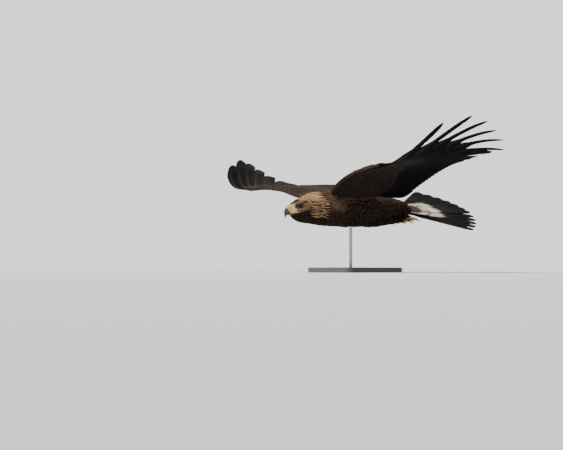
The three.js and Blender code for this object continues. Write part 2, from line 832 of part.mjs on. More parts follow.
// Tail: made flat in its own frame and rolled as a whole about the body's length.
const TAIL_BASE_Z = -13;
const RECTRIX_LENGTH = 307;
const TAIL_HALF_FAN = 46;
const RECTRIX_PAIRS = 6;
const RECTRIX_WIDTH = 56;
const TAIL_MOUND = [[TAIL_Y, 24, 17, 38], [232, 15, 14, 36], [258, 8, 8, 30], [276, 3, 3, 22]];
const TAIL_ROOT_Y = 214;
const TAIL_COVERTS = [
  { count: 7, length: 128, width: 32, height: 4.6, spread: 28, face: 1 },
  { count: 5, length: 84, width: 34, height: 8, spread: 24, face: 1 },
  { count: 5, length: 122, width: 38, height: -4.6, spread: 25, face: -1 },
];

function tailFeather(angle, options) {
  const turn = radians(angle);
  const direction = [Math.sin(turn), Math.cos(turn)];
  const root = [Math.sin(turn) * 16, TAIL_ROOT_Y + options.start];
  const tip = [root[0] + direction[0] * options.length, root[1] + direction[1] * options.length];
  return vane({ root, tip, surface: level(0), leadSign: angle < 0 ? -1 : 1, ...options });
}

function rectrices() {
  const shapes = [];
  for (let pair = 0; pair < RECTRIX_PAIRS; pair += 1) {
    for (const side of [-1, 1]) {
      const angle = side * ((pair + 0.45) / (RECTRIX_PAIRS - 0.55)) * TAIL_HALF_FAN;
      const top = pair === 0 && side > 0;
      shapes.push(
        tailFeather(angle, {
          start: 0,
          length: RECTRIX_LENGTH - 1.2 * pair,
          width: RECTRIX_WIDTH - 1.5 * pair,
          leadShare: lerp(0.48, 0.36, pair / (RECTRIX_PAIRS - 1)),
          profile: FLIGHT_WIDTH,
          stations: SECONDARY_STATIONS,
          shaftThick: SHAFT_THICK,
          edgeThick: EDGE_THICK,
          slope: top ? 0.02 : FLIGHT_SLOPE,
          offset: level(top ? 2.4 : 0),
        }),
      );
    }
  }
  return shapes;
}

function tailCoverts() {
  const shapes = [];
  TAIL_COVERTS.forEach((tier, row) => {
    for (let k = 0; k < tier.count; k += 1) {
      const share = (k / (tier.count - 1)) * 2 - 1;
      const middle = k === (tier.count - 1) / 2;
      shapes.push(
        tailFeather(share * tier.spread, {
          start: -6 - 2 * row,
          length: tier.length * (1 - 0.16 * share * share),
          width: tier.width,
          leadShare: 0.5,
          profile: COVERT_WIDTH,
          stations: COVERT_STATIONS,
          shaftThick: COVERT_THICK,
          edgeThick: COVERT_THICK,
          slope: middle ? 0 : COVERT_SLOPE,
          offset: level(tier.height + (middle ? 1.3 * tier.face : 0)),
          ribbed: false,
        }),
      );
    }
  });
  return shapes;
}

function tailShape() {
  const mound = loft(TAIL_MOUND.map(([y, up, down, wide]) => ovalRing(y, up, -down, wide)));
  return largest(between(fuse([mound, ...rectrices(), ...tailCoverts()]), Y_AXIS, TAIL_Y, FAR));
}

// Stand
function baseShape() {
  const half = [BASE_LENGTH / 2 - BASE_CORNER, BASE_WIDTH / 2 - BASE_CORNER];
  const outline = new THREE.Shape();
  const corners = [[1, 1, 0], [-1, 1, 90], [-1, -1, 180], [1, -1, 270]];
  const radius = BASE_CORNER - BASE_BEVEL;
  for (const [sx, sy, turn] of corners) {
    outline.absarc(sx * half[0], sy * half[1], radius, radians(turn), radians(turn + 90), false);
  }
  const slab = new THREE.ExtrudeGeometry(outline, {
    depth: BASE_THICK - 2 * BASE_BEVEL,
    bevelThickness: BASE_BEVEL,
    bevelSize: BASE_BEVEL,
    bevelSegments: 1,
    curveSegments: 4,
  });
  return solidOf(slab.translate(0, 0, BASE_BEVEL));
}

// The bird, in its own frame before it is rolled and raised
const bird = new THREE.Group();
bird.rotation.y = -radians(BODY_ROLL);
bird.position.z = RIDE_HEIGHT;
const tailGroup = new THREE.Group();
tailGroup.rotation.y = radians(TAIL_ROLL);
tailGroup.position.z = TAIL_BASE_Z;
bird.add(tailGroup);

function addPart(group, name, solid, material) {
  const mesh = new THREE.Mesh(geometryOf(solid), material);
  mesh.name = name;
  group.add(mesh);
}

const eagle = new THREE.Group();
eagle.add(bird);

addPart(bird, "head", headShape(), MATERIALS.nape);
addPart(bird, "cere", cereShape(), MATERIALS.cere);
addPart(bird, "bill_upper", upperBillShape(), MATERIALS.horn);
addPart(bird, "bill_lower", lowerBillShape(), MATERIALS.horn);
addPart(bird, "neck", neckShape(), MATERIALS.nape);

const legCuts = [-1, 1].map((side) => legLimb(side, GAP));
addPart(bird, "torso", torsoShape(legCuts), MATERIALS.plumage);

const SIDES = [["left", 1], ["right", -1]];
const arm = armShape();
for (const [word, side] of SIDES) {
  const placed = (solid) => (side > 0 ? solid : solid.mirror([1, 0, 0]));
  addPart(bird, "wing_" + word + "_arm", placed(arm), MATERIALS.flight);
  addPart(bird, "wing_" + word + "_hand", placed(handShape(HANDS[word])), MATERIALS.flight);
  addPart(bird, "eye_" + word, eyeShape(side, EYE_RADIUS), MATERIALS.eye);
  addPart(bird, "leg_" + word, legShape(side), MATERIALS.plumage);
  const foot = footShape(side);
  addPart(bird, "foot_" + word, foot, MATERIALS.toe);
  for (const toe of TOES) {
    addPart(bird, "talon_" + word + "_" + toe.name, talonShape(side, toe, foot), MATERIALS.horn);
  }
}

addPart(tailGroup, "tail", tailShape(), MATERIALS.tail);

// The rod stops just short of the breast that it carries.
function rodShape() {
  const breast = torsoShape([]).rotate([0, -BODY_ROLL, 0]).translate([0, 0, RIDE_HEIGHT - GAP]);
  const length = RIDE_HEIGHT - BASE_THICK - GAP;
  const blank = new THREE.CylinderGeometry(ROD_RADIUS, ROD_RADIUS, length, 24);
  blank.rotateX(Math.PI / 2);
  blank.translate(0, ROD_Y, BASE_THICK + GAP + length / 2);
  return largest(solidOf(blank).subtract(breast));
}

addPart(eagle, "stand_base", baseShape(), MATERIALS.base);
addPart(eagle, "stand_rod", rodShape(), MATERIALS.rod);

export default eagle;
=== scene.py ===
# Looks of the gliding golden eagle on its stand: skin, plumage, face, feet, floor and light.
# Metres. The bird is shaped in its own level frame, then rolled and raised as the solids are.
import math

import bpy
import numpy as np
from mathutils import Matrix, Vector
from mathutils.bvhtree import BVHTree


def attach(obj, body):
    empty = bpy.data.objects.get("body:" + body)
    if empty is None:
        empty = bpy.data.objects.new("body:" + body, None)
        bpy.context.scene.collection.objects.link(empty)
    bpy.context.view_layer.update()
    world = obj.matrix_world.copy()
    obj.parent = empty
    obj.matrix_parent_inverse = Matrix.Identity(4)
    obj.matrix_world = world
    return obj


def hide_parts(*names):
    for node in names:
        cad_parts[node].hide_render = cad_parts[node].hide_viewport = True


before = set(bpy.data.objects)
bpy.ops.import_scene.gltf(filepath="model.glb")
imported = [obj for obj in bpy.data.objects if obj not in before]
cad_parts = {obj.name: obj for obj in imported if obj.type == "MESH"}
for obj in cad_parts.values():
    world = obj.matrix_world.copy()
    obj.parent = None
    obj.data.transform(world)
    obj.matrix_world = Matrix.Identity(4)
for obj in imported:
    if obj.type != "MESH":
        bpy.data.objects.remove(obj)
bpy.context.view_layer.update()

MM = 0.001
RNG = np.random.default_rng(7)

# Pose
RIDE_HEIGHT = 0.262
BODY_ROLL = math.radians(5)
HEAD_PITCH = math.radians(16)
TAIL_ROLL = math.radians(24.5)
TAIL_BASE_Z = -0.013

# Body outline of the plumage in millimetres, as (y, top, bottom, half width)
BODY_SECTIONS = [
    (-300, 13, -38, 13), (-292, 18, -45, 18.5), (-282, 25, -53, 24.5), (-268, 33.5, -60, 30),
    (-250, 42, -65, 36), (-225, 52, -69, 43), (-190, 62, -74, 53), (-150, 68, -78, 66),
    (-100, 72, -81, 78), (-40, 72, -83, 83), (20, 68, -82, 81), (80, 58, -75, 72),
    (140, 45, -64, 58), (185, 33, -54, 46), (215, 25, -46, 39),
]
# Depth of the coat over the skin in millimetres, as (y, depth)
COAT_DEPTH = [(-300, 0.8), (-280, 1.8), (-250, 3.5), (-200, 6), (-100, 7.5), (100, 7), (215, 5)]

# Wing, left side, in millimetres over the plan
LEADING_EDGE = [(60, -128), (92, -166), (150, -195), (250, -205), (350, -203), (450, -202), (532, -196)]
CORE_BACK = [(60, 36), (92, 28), (150, 8), (200, -22), (250, -68), (300, -108), (352, -130), (450, -150),
             (532, -166)]
CORE_HALF = [(60, 21), (150, 17), (200, 15), (250, 13.5), (352, 12), (450, 10), (532, 8)]
FRONT_HEIGHT = [(60, 42), (150, 60), (250, 90), (350, 109), (450, 116), (550, 124), (650, 127), (950, 140)]
REAR_HEIGHT = [(60, 28), (92, 36), (120, 48), (150, 60), (250, 86), (350, 111), (450, 130), (600, 143),
               (850, 145), (950, 150)]
WING_FRONT_Y, WING_REAR_Y = -200, 200
FINGER_START_X = 550
WING_SKIN_DEPTH = 3.0
SKIN_VOXEL = 0.0026
PRIMARY_TIPS = [(540, 197), (598, 196), (655, 186), (780, 182), (850, 197), (918, 155), (940, 111),
                (950, 67), (928, 9), (850, -80)]
PRIMARY_ROOT_X = (366, 516)
SECONDARY_ROOT_X = (150, 335)
SECONDARY_TIP_X = (128, 492)

# How each hand is held: where the outer primaries part, from the innermost to the outermost, how narrow
# and twisted they are beyond, how far they bend up, arch forward and fold back
HANDS = {
    1: {"fingers": 6, "finger_at": (0.68, 0.42), "finger_share": 0.6, "tilt": (0.30, 0.14), "twist": 0,
        "lift": 1.04, "fall": 0.0048, "bow": 14, "fold": 0},
    -1: {"fingers": 5, "finger_at": (0.68, 0.64), "finger_share": 0.82, "tilt": None, "twist": -0.25,
         "lift": 1.02, "fall": 0.0038, "bow": 42, "fold": 16},
}

# Face, in millimetres ahead of and above the eyes
EYE_Y, EYE_Z, EYE_X, EYE_RADIUS = -277, 2, 18.5, 8.5
# Rings of the bill, as (ahead, above, half width, half height, lean in degrees)
UPPER_BILL = [(8, -0.5, 15.5, 19.5, 0), (24, -1, 12.8, 17, 0), (32, -1.5, 11, 15.9, 6),
              (40, -4, 8.8, 13.2, 22), (47, -10, 6.4, 9.7, 44), (52.5, -17.5, 4.1, 6.2, 68),
              (55, -25.5, 2.3, 3.3, 88), (54.5, -33, 0.5, 0.6, 104)]
LOWER_BILL = [(8, -23.5, 12.4, 5.4, 0), (24, -22.3, 10.2, 5.4, 0), (36, -20.8, 7.4, 5, 0),
              (44, -19.8, 4.6, 4, 0), (49, -19.6, 1.6, 1.7, 0)]
LORE_AHEAD, CERE_AHEAD = 25, 39
NOSTRIL_AHEAD, NOSTRIL_ABOVE = 31.5, 2.5

# Legs, in millimetres
LEG_X = 30
LEG_PATH = [(24, -50), (52, -57), (92, -58), (136, -54), (172, -50), (204, -48)]
LEG_RADII = [8, 17, 20, 19, 15.5, 12]
LEG_SKIN_DEPTH = 3.0

# Photograph: image size, scale and where the body's centre falls
PHOTO_WIDTH, PHOTO_HEIGHT = 563, 450
PIXELS_PER_METRE = 250
BODY_PIXEL = (355, 207)
VIEW_AZIMUTH = math.radians(60)
CAMERA_DISTANCE = 60
SENSOR_WIDTH = 36
CAMERA_CLIP = 400
# One metre towards the photograph's camera, and one to its right
VIEW_BACK = (math.sin(VIEW_AZIMUTH), -math.cos(VIEW_AZIMUTH), 0.0)
VIEW_RIGHT = (math.cos(VIEW_AZIMUTH), math.sin(VIEW_AZIMUTH), 0.0)

# Studio, in metres: floor and backdrop of one sheet, a warm sun and a soft sky
FLOOR_REACH = 90.0
BACKDROP_DISTANCE, BACKDROP_HEIGHT = 7.0, 30.0
SWEEP_RADIUS, SWEEP_STEPS = 4, 16
PAPER_COLOR, PAPER_ROUGHNESS = (0.74, 0.77, 0.80, 1), 0.9
SUN_AHEAD, SUN_LEFT, SUN_ABOVE = 2.4, 4.0, 4.6
SUN_STRENGTH, SUN_COLOR, SUN_SPREAD = 5.6, (1.0, 0.95, 0.87), math.radians(6)
SKY_COLOR, SKY_STRENGTH = (0.80, 0.88, 1.0, 1), 0.32

# Colours, linear
DARK_BROWN = (0.015, 0.0085, 0.006)
BROWN = (0.048, 0.026, 0.015)
WARM_BROWN = (0.125, 0.064, 0.031)
GOLD = (0.46, 0.27, 0.115)
BUFF = (0.50, 0.34, 0.19)
BLACK_BROWN = (0.0045, 0.0038, 0.0046)
WHITE = (0.74, 0.70, 0.60)
GREY_BROWN = (0.085, 0.076, 0.070)
LORE = (0.66, 0.58, 0.47)
CREAM = (0.62, 0.46, 0.25)
HACKLE = (0.36, 0.225, 0.135)


# Numbers
def flow(stations, at):
    """A smooth curve through a few (position, value) stations, read at one or many places."""
    xs = np.array([s[0] for s in stations], float)
    vs = np.array([s[1] for s in stations], float)
    at = np.asarray(at, float)
    grade = np.empty(len(xs))
    grade[1:-1] = (vs[2:] - vs[:-2]) / (xs[2:] - xs[:-2])
    grade[0] = (vs[1] - vs[0]) / (xs[1] - xs[0])
    grade[-1] = (vs[-1] - vs[-2]) / (xs[-1] - xs[-2])
    k = np.clip(np.searchsorted(xs, at) - 1, 0, len(xs) - 2)
    span = xs[k + 1] - xs[k]
    t = np.clip((at - xs[k]) / span, 0, 1)
    r = 1 - t
    start = vs[k] * r * r * (1 + 2 * t) + grade[k] * span * t * r * r
    end = vs[k + 1] * t * t * (1 + 2 * r) - grade[k + 1] * span * t * t * r
    return start + end


def along(stations, at):
    return np.interp(at, [s[0] for s in stations], [s[1] for s in stations])


def smooth(t):
    t = np.clip(t, 0, 1)
    return t * t * (3 - 2 * t)


def mix(a, b, t):
    return np.asarray(a) + (np.asarray(b) - np.asarray(a)) * t


def unit(v):
    return v / np.maximum(np.linalg.norm(v, axis=-1, keepdims=True), 1e-9)


def turned(points, angle):
    """Points turned about the Y axis, the left side rising for a negative angle."""
    c, s = math.cos(angle), math.sin(angle)
    x, y, z = points[..., 0], points[..., 1], points[..., 2]
    return np.stack([x * c + z * s, y, -x * s + z * c], -1)


def to_world(points):
    """Millimetres in the bird's own frame to metres in the row frame."""
    world = turned(np.asarray(points, float) * MM, -BODY_ROLL)
    world[..., 2] += RIDE_HEIGHT
    return world


def to_bird(points):
    local = np.asarray(points, float).copy()
    local[..., 2] -= RIDE_HEIGHT
    return turned(local, BODY_ROLL) / MM


def tail_to_bird(points):
    bird = turned(np.asarray(points, float), TAIL_ROLL)
    bird[..., 2] += TAIL_BASE_Z / MM
    return bird


def wing_height(x, y, hand=HANDS[1]):
    """Height of a wing's middle surface over the plan."""
    share = (y - WING_FRONT_Y) / (WING_REAR_Y - WING_FRONT_Y)
    flat = mix(flow(FRONT_HEIGHT, x), flow(REAR_HEIGHT, x), share)
    reach = np.maximum(0, x - FINGER_START_X)
    rise = np.maximum(0, hand["lift"] - hand["fall"] * y)
    return flat + reach * reach * rise / 1000


def face_point(side, ahead, above):
    c, s = math.cos(HEAD_PITCH), math.sin(HEAD_PITCH)
    side, ahead, above = np.broadcast_arrays(*[np.asarray(v, float) for v in (side, ahead, above)])
    return np.stack([side, EYE_Y - (ahead * c + above * s), EYE_Z + above * c - ahead * s], -1)


# Meshes
def make_mesh(name, points, quads, tris=None, color=None, barb=None, uv=None):
    """A mesh object from arrays of points and faces, with its colour and barb coordinates."""
    quads = np.asarray(quads, np.int32).reshape(-1, 4)
    tris = np.zeros((0, 3), np.int32) if tris is None else np.asarray(tris, np.int32).reshape(-1, 3)
    loops = np.concatenate([quads.ravel(), tris.ravel()])
    starts = np.concatenate([np.arange(len(quads)) * 4, len(quads) * 4 + np.arange(len(tris)) * 3])
    mesh = bpy.data.meshes.new(name)
    mesh.vertices.add(len(points))
    mesh.vertices.foreach_set("co", np.asarray(points, np.float32).ravel())
    mesh.loops.add(len(loops))
    mesh.loops.foreach_set("vertex_index", loops)
    mesh.polygons.add(len(starts))
    mesh.polygons.foreach_set("loop_start", starts.astype(np.int32))
    mesh.update(calc_edges=True)
    mesh.validate()
    mesh.polygons.foreach_set("use_smooth", np.ones(len(mesh.polygons), bool))
    paint(mesh, color, barb)
    if uv is not None:
        layer = mesh.uv_layers.new(name="OFBake")
        order = np.empty(len(mesh.loops), np.int32)
        mesh.loops.foreach_get("vertex_index", order)
        layer.data.foreach_set("uv", np.asarray(uv, np.float32)[order].ravel())
    made = bpy.data.objects.new(name, mesh)
    bpy.context.scene.collection.objects.link(made)
    return made


def paint(mesh, color, barb=None):
    if color is not None:
        rgba = np.ones((len(mesh.vertices), 4), np.float32)
        rgba[:, :3] = np.clip(color, 0, 1)
        layer = mesh.color_attributes.new("Col", "FLOAT_COLOR", "POINT")
        layer.data.foreach_set("color", rgba.ravel())
    if barb is not None:
        layer = mesh.attributes.new("barb", "FLOAT", "POINT")
        layer.data.foreach_set("value", np.asarray(barb, np.float32).ravel())


def ring_faces(rings, count):
    """Quads between rings of points, with a fan of triangles over each end."""
    i = np.arange(rings - 1)[:, None] * count
    j = np.arange(count)[None, :]
    n = (j + 1) % count
    quads = np.stack([i + j, i + n, i + count + n, i + count + j], -1).reshape(-1, 4)
    k = np.arange(1, count - 1)
    last = (rings - 1) * count
    start = np.stack([np.zeros_like(k), k + 1, k], -1)
    end = np.stack([np.full_like(k, last), last + k, last + k + 1], -1)
    return quads, np.concatenate([start, end])


def outward(points, quads, tris):
    """Turns all faces round if the closed surface has its inside out."""
    a, b, c = points[tris[:, 0]], points[tris[:, 1]], points[tris[:, 2]]
    volume = np.einsum("ij,ij->i", a, np.cross(b, c)).sum()
    for k in (1, 2):
        a, b, c = points[quads[:, 0]], points[quads[:, k]], points[quads[:, k + 1]]
        volume += np.einsum("ij,ij->i", a, np.cross(b, c)).sum()
    if volume < 0:
        return quads[:, ::-1], tris[:, ::-1]
    return quads, tris


def loft_object(name, rings, color=None, uv=None):
    rings = np.asarray(rings, float)
    count = rings.shape[1]
    points = rings.reshape(-1, 3)
    quads, tris = ring_faces(len(rings), count)
    quads, tris = outward(points, quads, tris)
    return make_mesh(name, points, quads, tris, color=color, uv=uv)


def joined(shapes):
    """Closed ring shapes of the bird's frame, as the points, quads and triangles of one mesh."""
    points, quads, tris, base = [], [], [], 0
    for rings in shapes:
        flat = to_world(rings.reshape(-1, 3))
        q, t = outward(flat, *ring_faces(rings.shape[0], rings.shape[1]))
        points.append(flat)
        quads.append(q + base)
        tris.append(t + base)
        base += len(flat)
    return np.concatenate(points), np.concatenate(quads), np.concatenate(tris)


def limb_rings(path, radii, sides, flat=1.0):
    """Round rings along a path of points; flat squeezes them in height."""
    path = np.asarray(path, float)
    ahead = unit(np.gradient(path, axis=0))
    across = unit(np.cross(np.array([1.0, 0, 0]), ahead))
    beside = np.cross(ahead, across)
    turn = np.arange(sides) * 2 * math.pi / sides
    radii = np.asarray(radii, float)[:, None, None]
    ring = np.cos(turn)[None, :, None] * across[:, None] * flat
    ring = ring + np.sin(turn)[None, :, None] * beside[:, None]
    return path[:, None] + ring * radii


def finer(stations, count):
    """Rows of a table of numbers, resampled along a smooth curve through them."""
    rows = np.asarray(stations, float)
    places = np.linspace(0, len(rows) - 1, count)
    columns = [flow(list(enumerate(rows[:, k])), places) for k in range(rows.shape[1])]
    return np.stack(columns, -1)


# Skin
def oval_rings(sections, sides):
    y, top, bottom, wide = sections.T
    turn = np.arange(sides) * 2 * math.pi / sides
    middle, half = (top + bottom) / 2, (top - bottom) / 2
    x = np.cos(turn)[None] * wide[:, None]
    z = middle[:, None] + np.sin(turn)[None] * half[:, None]
    return np.stack([x, np.repeat(y[:, None], sides, 1), z], -1)


def body_skin_rings():
    y = np.linspace(BODY_SECTIONS[0][0], BODY_SECTIONS[-1][0], 90)
    top, bottom, wide = [flow([(s[0], s[k]) for s in BODY_SECTIONS], y) for k in (1, 2, 3)]
    depth = along(COAT_DEPTH, y)
    return oval_rings(np.stack([y, top - depth, bottom + depth, wide - depth], -1), 48)


CORE_OUTLINE = [(0, 0), (0.03, 0.38), (0.1, 0.7), (0.28, 1), (0.5, 1), (0.75, 0.82), (1, 0.5)]


def core_rings(side, inset):
    x = np.linspace(60, 528, 60)
    front, back, half = flow(LEADING_EDGE, x), flow(CORE_BACK, x), flow(CORE_HALF, x)
    outline = CORE_OUTLINE + [(s, -t) for s, t in CORE_OUTLINE[:0:-1]]
    rings = []
    for share, thick in outline:
        y = mix(front + inset, back, share)
        z = wing_height(x, y) + thick * (half - inset)
        rings.append(np.stack([x * side, y, z], -1))
    return np.stack(rings, 1)


def leg_rings(side):
    path = [(side * LEG_X, y, z) for y, z in LEG_PATH]
    path, radii = finer(path, 24), finer([(r,) for r in LEG_RADII], 24)[:, 0]
    return limb_rings(path, radii - LEG_SKIN_DEPTH, 24)


BROW_PATH = [(11, 17, 8), (18, 9, 9.5), (23.2, 0, 9.6), (24, -11, 8), (21, -20, 5)]
BROW_RADII = [2, 3.2, 3.6, 3.2, 1.5]


def brow_rings(side):
    points = finer(BROW_PATH, 14)
    path = face_point(side * points[:, 0], points[:, 1], points[:, 2])
    return limb_rings(path, finer([(r,) for r in BROW_RADII], 14)[:, 0], 12)


# Root of the tail in its own frame, as (y, up, down, half width)
TAIL_ROOT_SECTIONS = [(188, 30, 24, 42), (214, 20, 17, 36), (236, 12, 11, 31), (258, 6, 6, 26),
                      (276, 2.4, 2.4, 20)]


def mound_rings():
    y = np.linspace(TAIL_ROOT_SECTIONS[0][0], TAIL_ROOT_SECTIONS[-1][0], 20)
    up, down, wide = [flow([(s[0], s[k]) for s in TAIL_ROOT_SECTIONS], y) for k in (1, 2, 3)]
    return tail_to_bird(oval_rings(np.stack([y, up, -down, wide], -1), 32))


def bill_rings(sections, count, sides, grow=0.0, narrow=0.28):
    rows = finer(sections, count)
    turn = np.arange(sides) * 2 * math.pi / sides
    rings = []
    for ahead, above, wide, high, lean in rows:
        tilt = math.radians(lean)
        up = np.sin(turn) * (high + grow)
        slim = 1 - narrow * np.maximum(0, np.sin(turn)) ** 1.5
        out = np.cos(turn) * np.abs(np.cos(turn)) ** -0.12 * slim * (wide + grow)
        rings.append(face_point(out, ahead + up * math.sin(tilt), above + up * math.cos(tilt)))
    return np.array(rings), rows


def lore_rings():
    """The feathered base of the bill, just proud of the cere behind it."""
    return bill_rings([s for s in UPPER_BILL if s[0] < LORE_AHEAD], 14, 40, grow=0.9)[0]


def make_skin():
    """One closed skin for head, neck, trunk, legs, arms and tail root."""
    parts = [body_skin_rings(), mound_rings(), lore_rings()]
    for side in (-1, 1):
        parts += [core_rings(side, WING_SKIN_DEPTH), leg_rings(side), brow_rings(side)]
    rough = make_mesh("skin_rough", *joined(parts))
    remesh = rough.modifiers.new("whole", "REMESH")
    remesh.mode = "VOXEL"
    remesh.voxel_size = SKIN_VOXEL
    relax = rough.modifiers.new("relax", "SMOOTH")
    relax.factor = 0.5
    relax.iterations = 5
    graph = bpy.context.evaluated_depsgraph_get()
    mesh = bpy.data.meshes.new_from_object(rough.evaluated_get(graph))
    mesh.name = "skin"
    skin = bpy.data.objects.new("skin", mesh)
    bpy.context.scene.collection.objects.link(skin)
    bpy.data.objects.remove(rough)
    mesh.polygons.foreach_set("use_smooth", np.ones(len(mesh.polygons), bool))
    return skin


def vertex_array(mesh, field="co"):
    values = np.empty(len(mesh.vertices) * 3, np.float32)
    mesh.vertices.foreach_get(field, values)
    return values.reshape(-1, 3).astype(float)


def polygon_array(mesh, field):
    values = np.empty(len(mesh.polygons) * 3, np.float32)
    mesh.polygons.foreach_get(field, values)
    return values.reshape(-1, 3).astype(float)


# Unwrap of the skin's own shape: a chart round the body and one for each face of each wing
WING_CHART_X = 96
BODY_CHART = (0.02, 0.02, 0.94, 0.42)
WING_CHARTS = {(1, 1): (0.02, 0.48), (1, -1): (0.27, 0.48), (-1, 1): (0.52, 0.48), (-1, -1): (0.76, 0.48)}
WING_CHART_SIZE = (0.21, 0.48)
CHART_JUMP = 0.05


def unwrap(bird, normal):
    """Places in the unit square of points of the skin, in the bird's frame, with their normals."""
    x, y, z = bird[:, 0], bird[:, 1], bird[:, 2]
    turn = np.arctan2(x, -(z + 5)) / (2 * math.pi) + 0.5
    u = BODY_CHART[0] + BODY_CHART[2] * np.clip((y + 320) / 620, 0, 1)
    v = BODY_CHART[1] + BODY_CHART[3] * turn
    for (side, face), (left, low) in WING_CHARTS.items():
        here = (x * side > WING_CHART_X) & (normal[:, 2] * face >= 0)
        wu = left + WING_CHART_SIZE[0] * np.clip((y + 230) / 460, 0, 1)
        wv = low + WING_CHART_SIZE[1] * np.clip((np.abs(x) - WING_CHART_X) / 460, 0, 1)
        u, v = np.where(here, wu, u), np.where(here, wv, v)
    return np.stack([u, v], -1)


def unwrap_skin(skin):
    """Gives each face of the skin the chart of its own middle, so that none is torn across charts."""
    mesh = skin.data
    count = len(mesh.loops)
    order = np.empty(count, np.int32)
    mesh.loops.foreach_get("vertex_index", order)
    totals = np.empty(len(mesh.polygons), np.int32)
    mesh.polygons.foreach_get("loop_total", totals)
    face_of = np.repeat(np.arange(len(totals)), totals)
    normal = polygon_array(mesh, "normal")
    at_face = unwrap(to_bird(polygon_array(mesh, "center")), normal)[face_of]
    corners = to_bird(vertex_array(mesh))[order]
    at_corner = unwrap(corners, normal[face_of])
    torn = np.abs(at_corner - at_face).max(1) > CHART_JUMP
    at_corner[torn] = at_face[torn]
    mesh.uv_layers.new(name="OFBake").data.foreach_set("uv", at_corner.astype(np.float32).ravel())


# Markings
def blend_many(base, *layers):
    """Lays colours over a base, each with its own share at every point."""
    out = np.array(base, float)
    for color, share in layers:
        share = np.broadcast_to(np.clip(share, 0, 1), len(out))
        out = out + (np.asarray(color) - out) * share[:, None]
    return out


def face_frame(bird):
    """Distance ahead of and above the eyes of points in the bird's frame."""
    c, s = math.cos(HEAD_PITCH), math.sin(HEAD_PITCH)
    forward, up = EYE_Y - bird[:, 1], bird[:, 2] - EYE_Z
    return forward * c - up * s, forward * s + up * c


def band(value, low, high, soft):
    return smooth((value - low) / soft + 0.5) * smooth((high - value) / soft + 0.5)


def markings(bird, normal):
    """Plumage colour over the whole body, from the place of each feather's root, with painted shade on the
    belly, the flanks under the wing, the throat, the wings' undersides and between the hackles.
    """
    x, y, z = bird[:, 0], bird[:, 1], bird[:, 2]
    ahead, above = face_frame(bird)
    base = np.tile(np.array(BROWN), (len(bird), 1))
    # darker underside of the trunk: partly its own darker plumage, partly painted shade
    belly = smooth((4 - z) / 40) * (np.abs(x) < 100)
    wing = np.abs(x) > 95
    # wing undersides darkened: partly their own darker plumage, partly painted shade
    under = wing & (normal[:, 2] < 0)
    back = smooth((z - 20) / 30) * smooth((y + 150) / 40) * ~wing
    golden = smooth((z - 2) / 20) * smooth((y + 276) / 14) * smooth((-182 - y) / 26) * ~wing
    # painted shadow of the wing, darkening the flanks below it
    wing_shadow_on_flank = smooth((y + 120) / 70) * smooth((38 - z) / 30) * (np.abs(x) < 100)
    over = wing & (normal[:, 2] >= 0)
    # painted shade in the gaps between the loose neck hackles
    hackle_gap_shade = band(y, -226, -172, 16) * band(z, -42, 20, 14) * ~wing
    shoulder = smooth((z + 30) / 30) * band(y, -180, -110, 30) * (np.abs(x) < 140) * (normal[:, 2] > -0.3)
    crown = smooth((above - 17) / 5) * smooth((ahead + 10) / 8) * (y < -258)
    cheek = (y < -232) * smooth((above + 30) / 12) * smooth((12 - above) / 8)
    lore = band(ahead, 12.5, 32, 3) * band(above, -17, 11, 4)
    # painted shade on the throat below the bill
    throat_shade = smooth((-24 - above) / 7) * (y < -175)
    patch = smooth((1.15 - np.hypot((ahead - 1) / 15, (above + 2) / 8.5)) / 0.35)
    line = band(ahead, -36, -6, 6) * smooth((3.2 - np.abs(above - 3 + 0.16 * ahead)) / 2.5 + 0.5)
    lid_ring = np.hypot((ahead + 7) / 18, (above + 3) / 12.5)
    below_eye = band(lid_ring, 0.86, 1.12, 0.12) * smooth((-5 - above) / 4) * (ahead < 8)
    brow = band(ahead, -26, 24, 6) * band(above, 7.5, 15.5, 3.5)
    spots = smooth((np.sin(x * 0.33 + 2) * np.sin(y * 0.29) + np.sin(z * 0.41 + y * 0.17) - 0.75) / 0.5)
    return blend_many(
        base,
        (DARK_BROWN, belly * 0.9),
        (mix(DARK_BROWN, BLACK_BROWN, 0.4), wing_shadow_on_flank * 0.85),
        (mix(DARK_BROWN, (0.050, 0.032, 0.028), 0.5), over * 0.85),
        (mix(BROWN, WARM_BROWN, 0.45), back * 0.8),
        (mix(WARM_BROWN, (0.14, 0.085, 0.065), 0.5), shoulder * 0.7),
        (mix(WARM_BROWN, GOLD, 0.18), cheek * 0.9),
        (GOLD, golden),
        (CREAM, golden * 0.8 * smooth((z - 14) / 16)),
        (mix(BROWN, WARM_BROWN, 0.7), golden * spots * smooth((y + 262) / 8) * 0.75),
        (mix(DARK_BROWN, BROWN, 0.35), hackle_gap_shade * (1 - golden * 0.6) * 0.85),
        (mix(BROWN, BUFF, 0.42), brow * (y < -245) * 0.9),
        (mix(DARK_BROWN, BROWN, 0.5), crown * 0.95),
        (mix(BLACK_BROWN, DARK_BROWN, 0.6), throat_shade * 0.85),
        (LORE, lore),
        (mix(BLACK_BROWN, DARK_BROWN, 0.5), np.maximum(patch, line) * 0.95 * (np.abs(x) > 8)),
        (mix(WARM_BROWN, BUFF, 0.62), below_eye * 0.9),
        (mix(BLACK_BROWN, DARK_BROWN, 0.5), under * 1.0),
    )


def color_skin(skin):
    bird = to_bird(vertex_array(skin.data))
    normal = vertex_array(skin.data, "normal")
    paint(skin.data, markings(bird, normal) * 0.55)


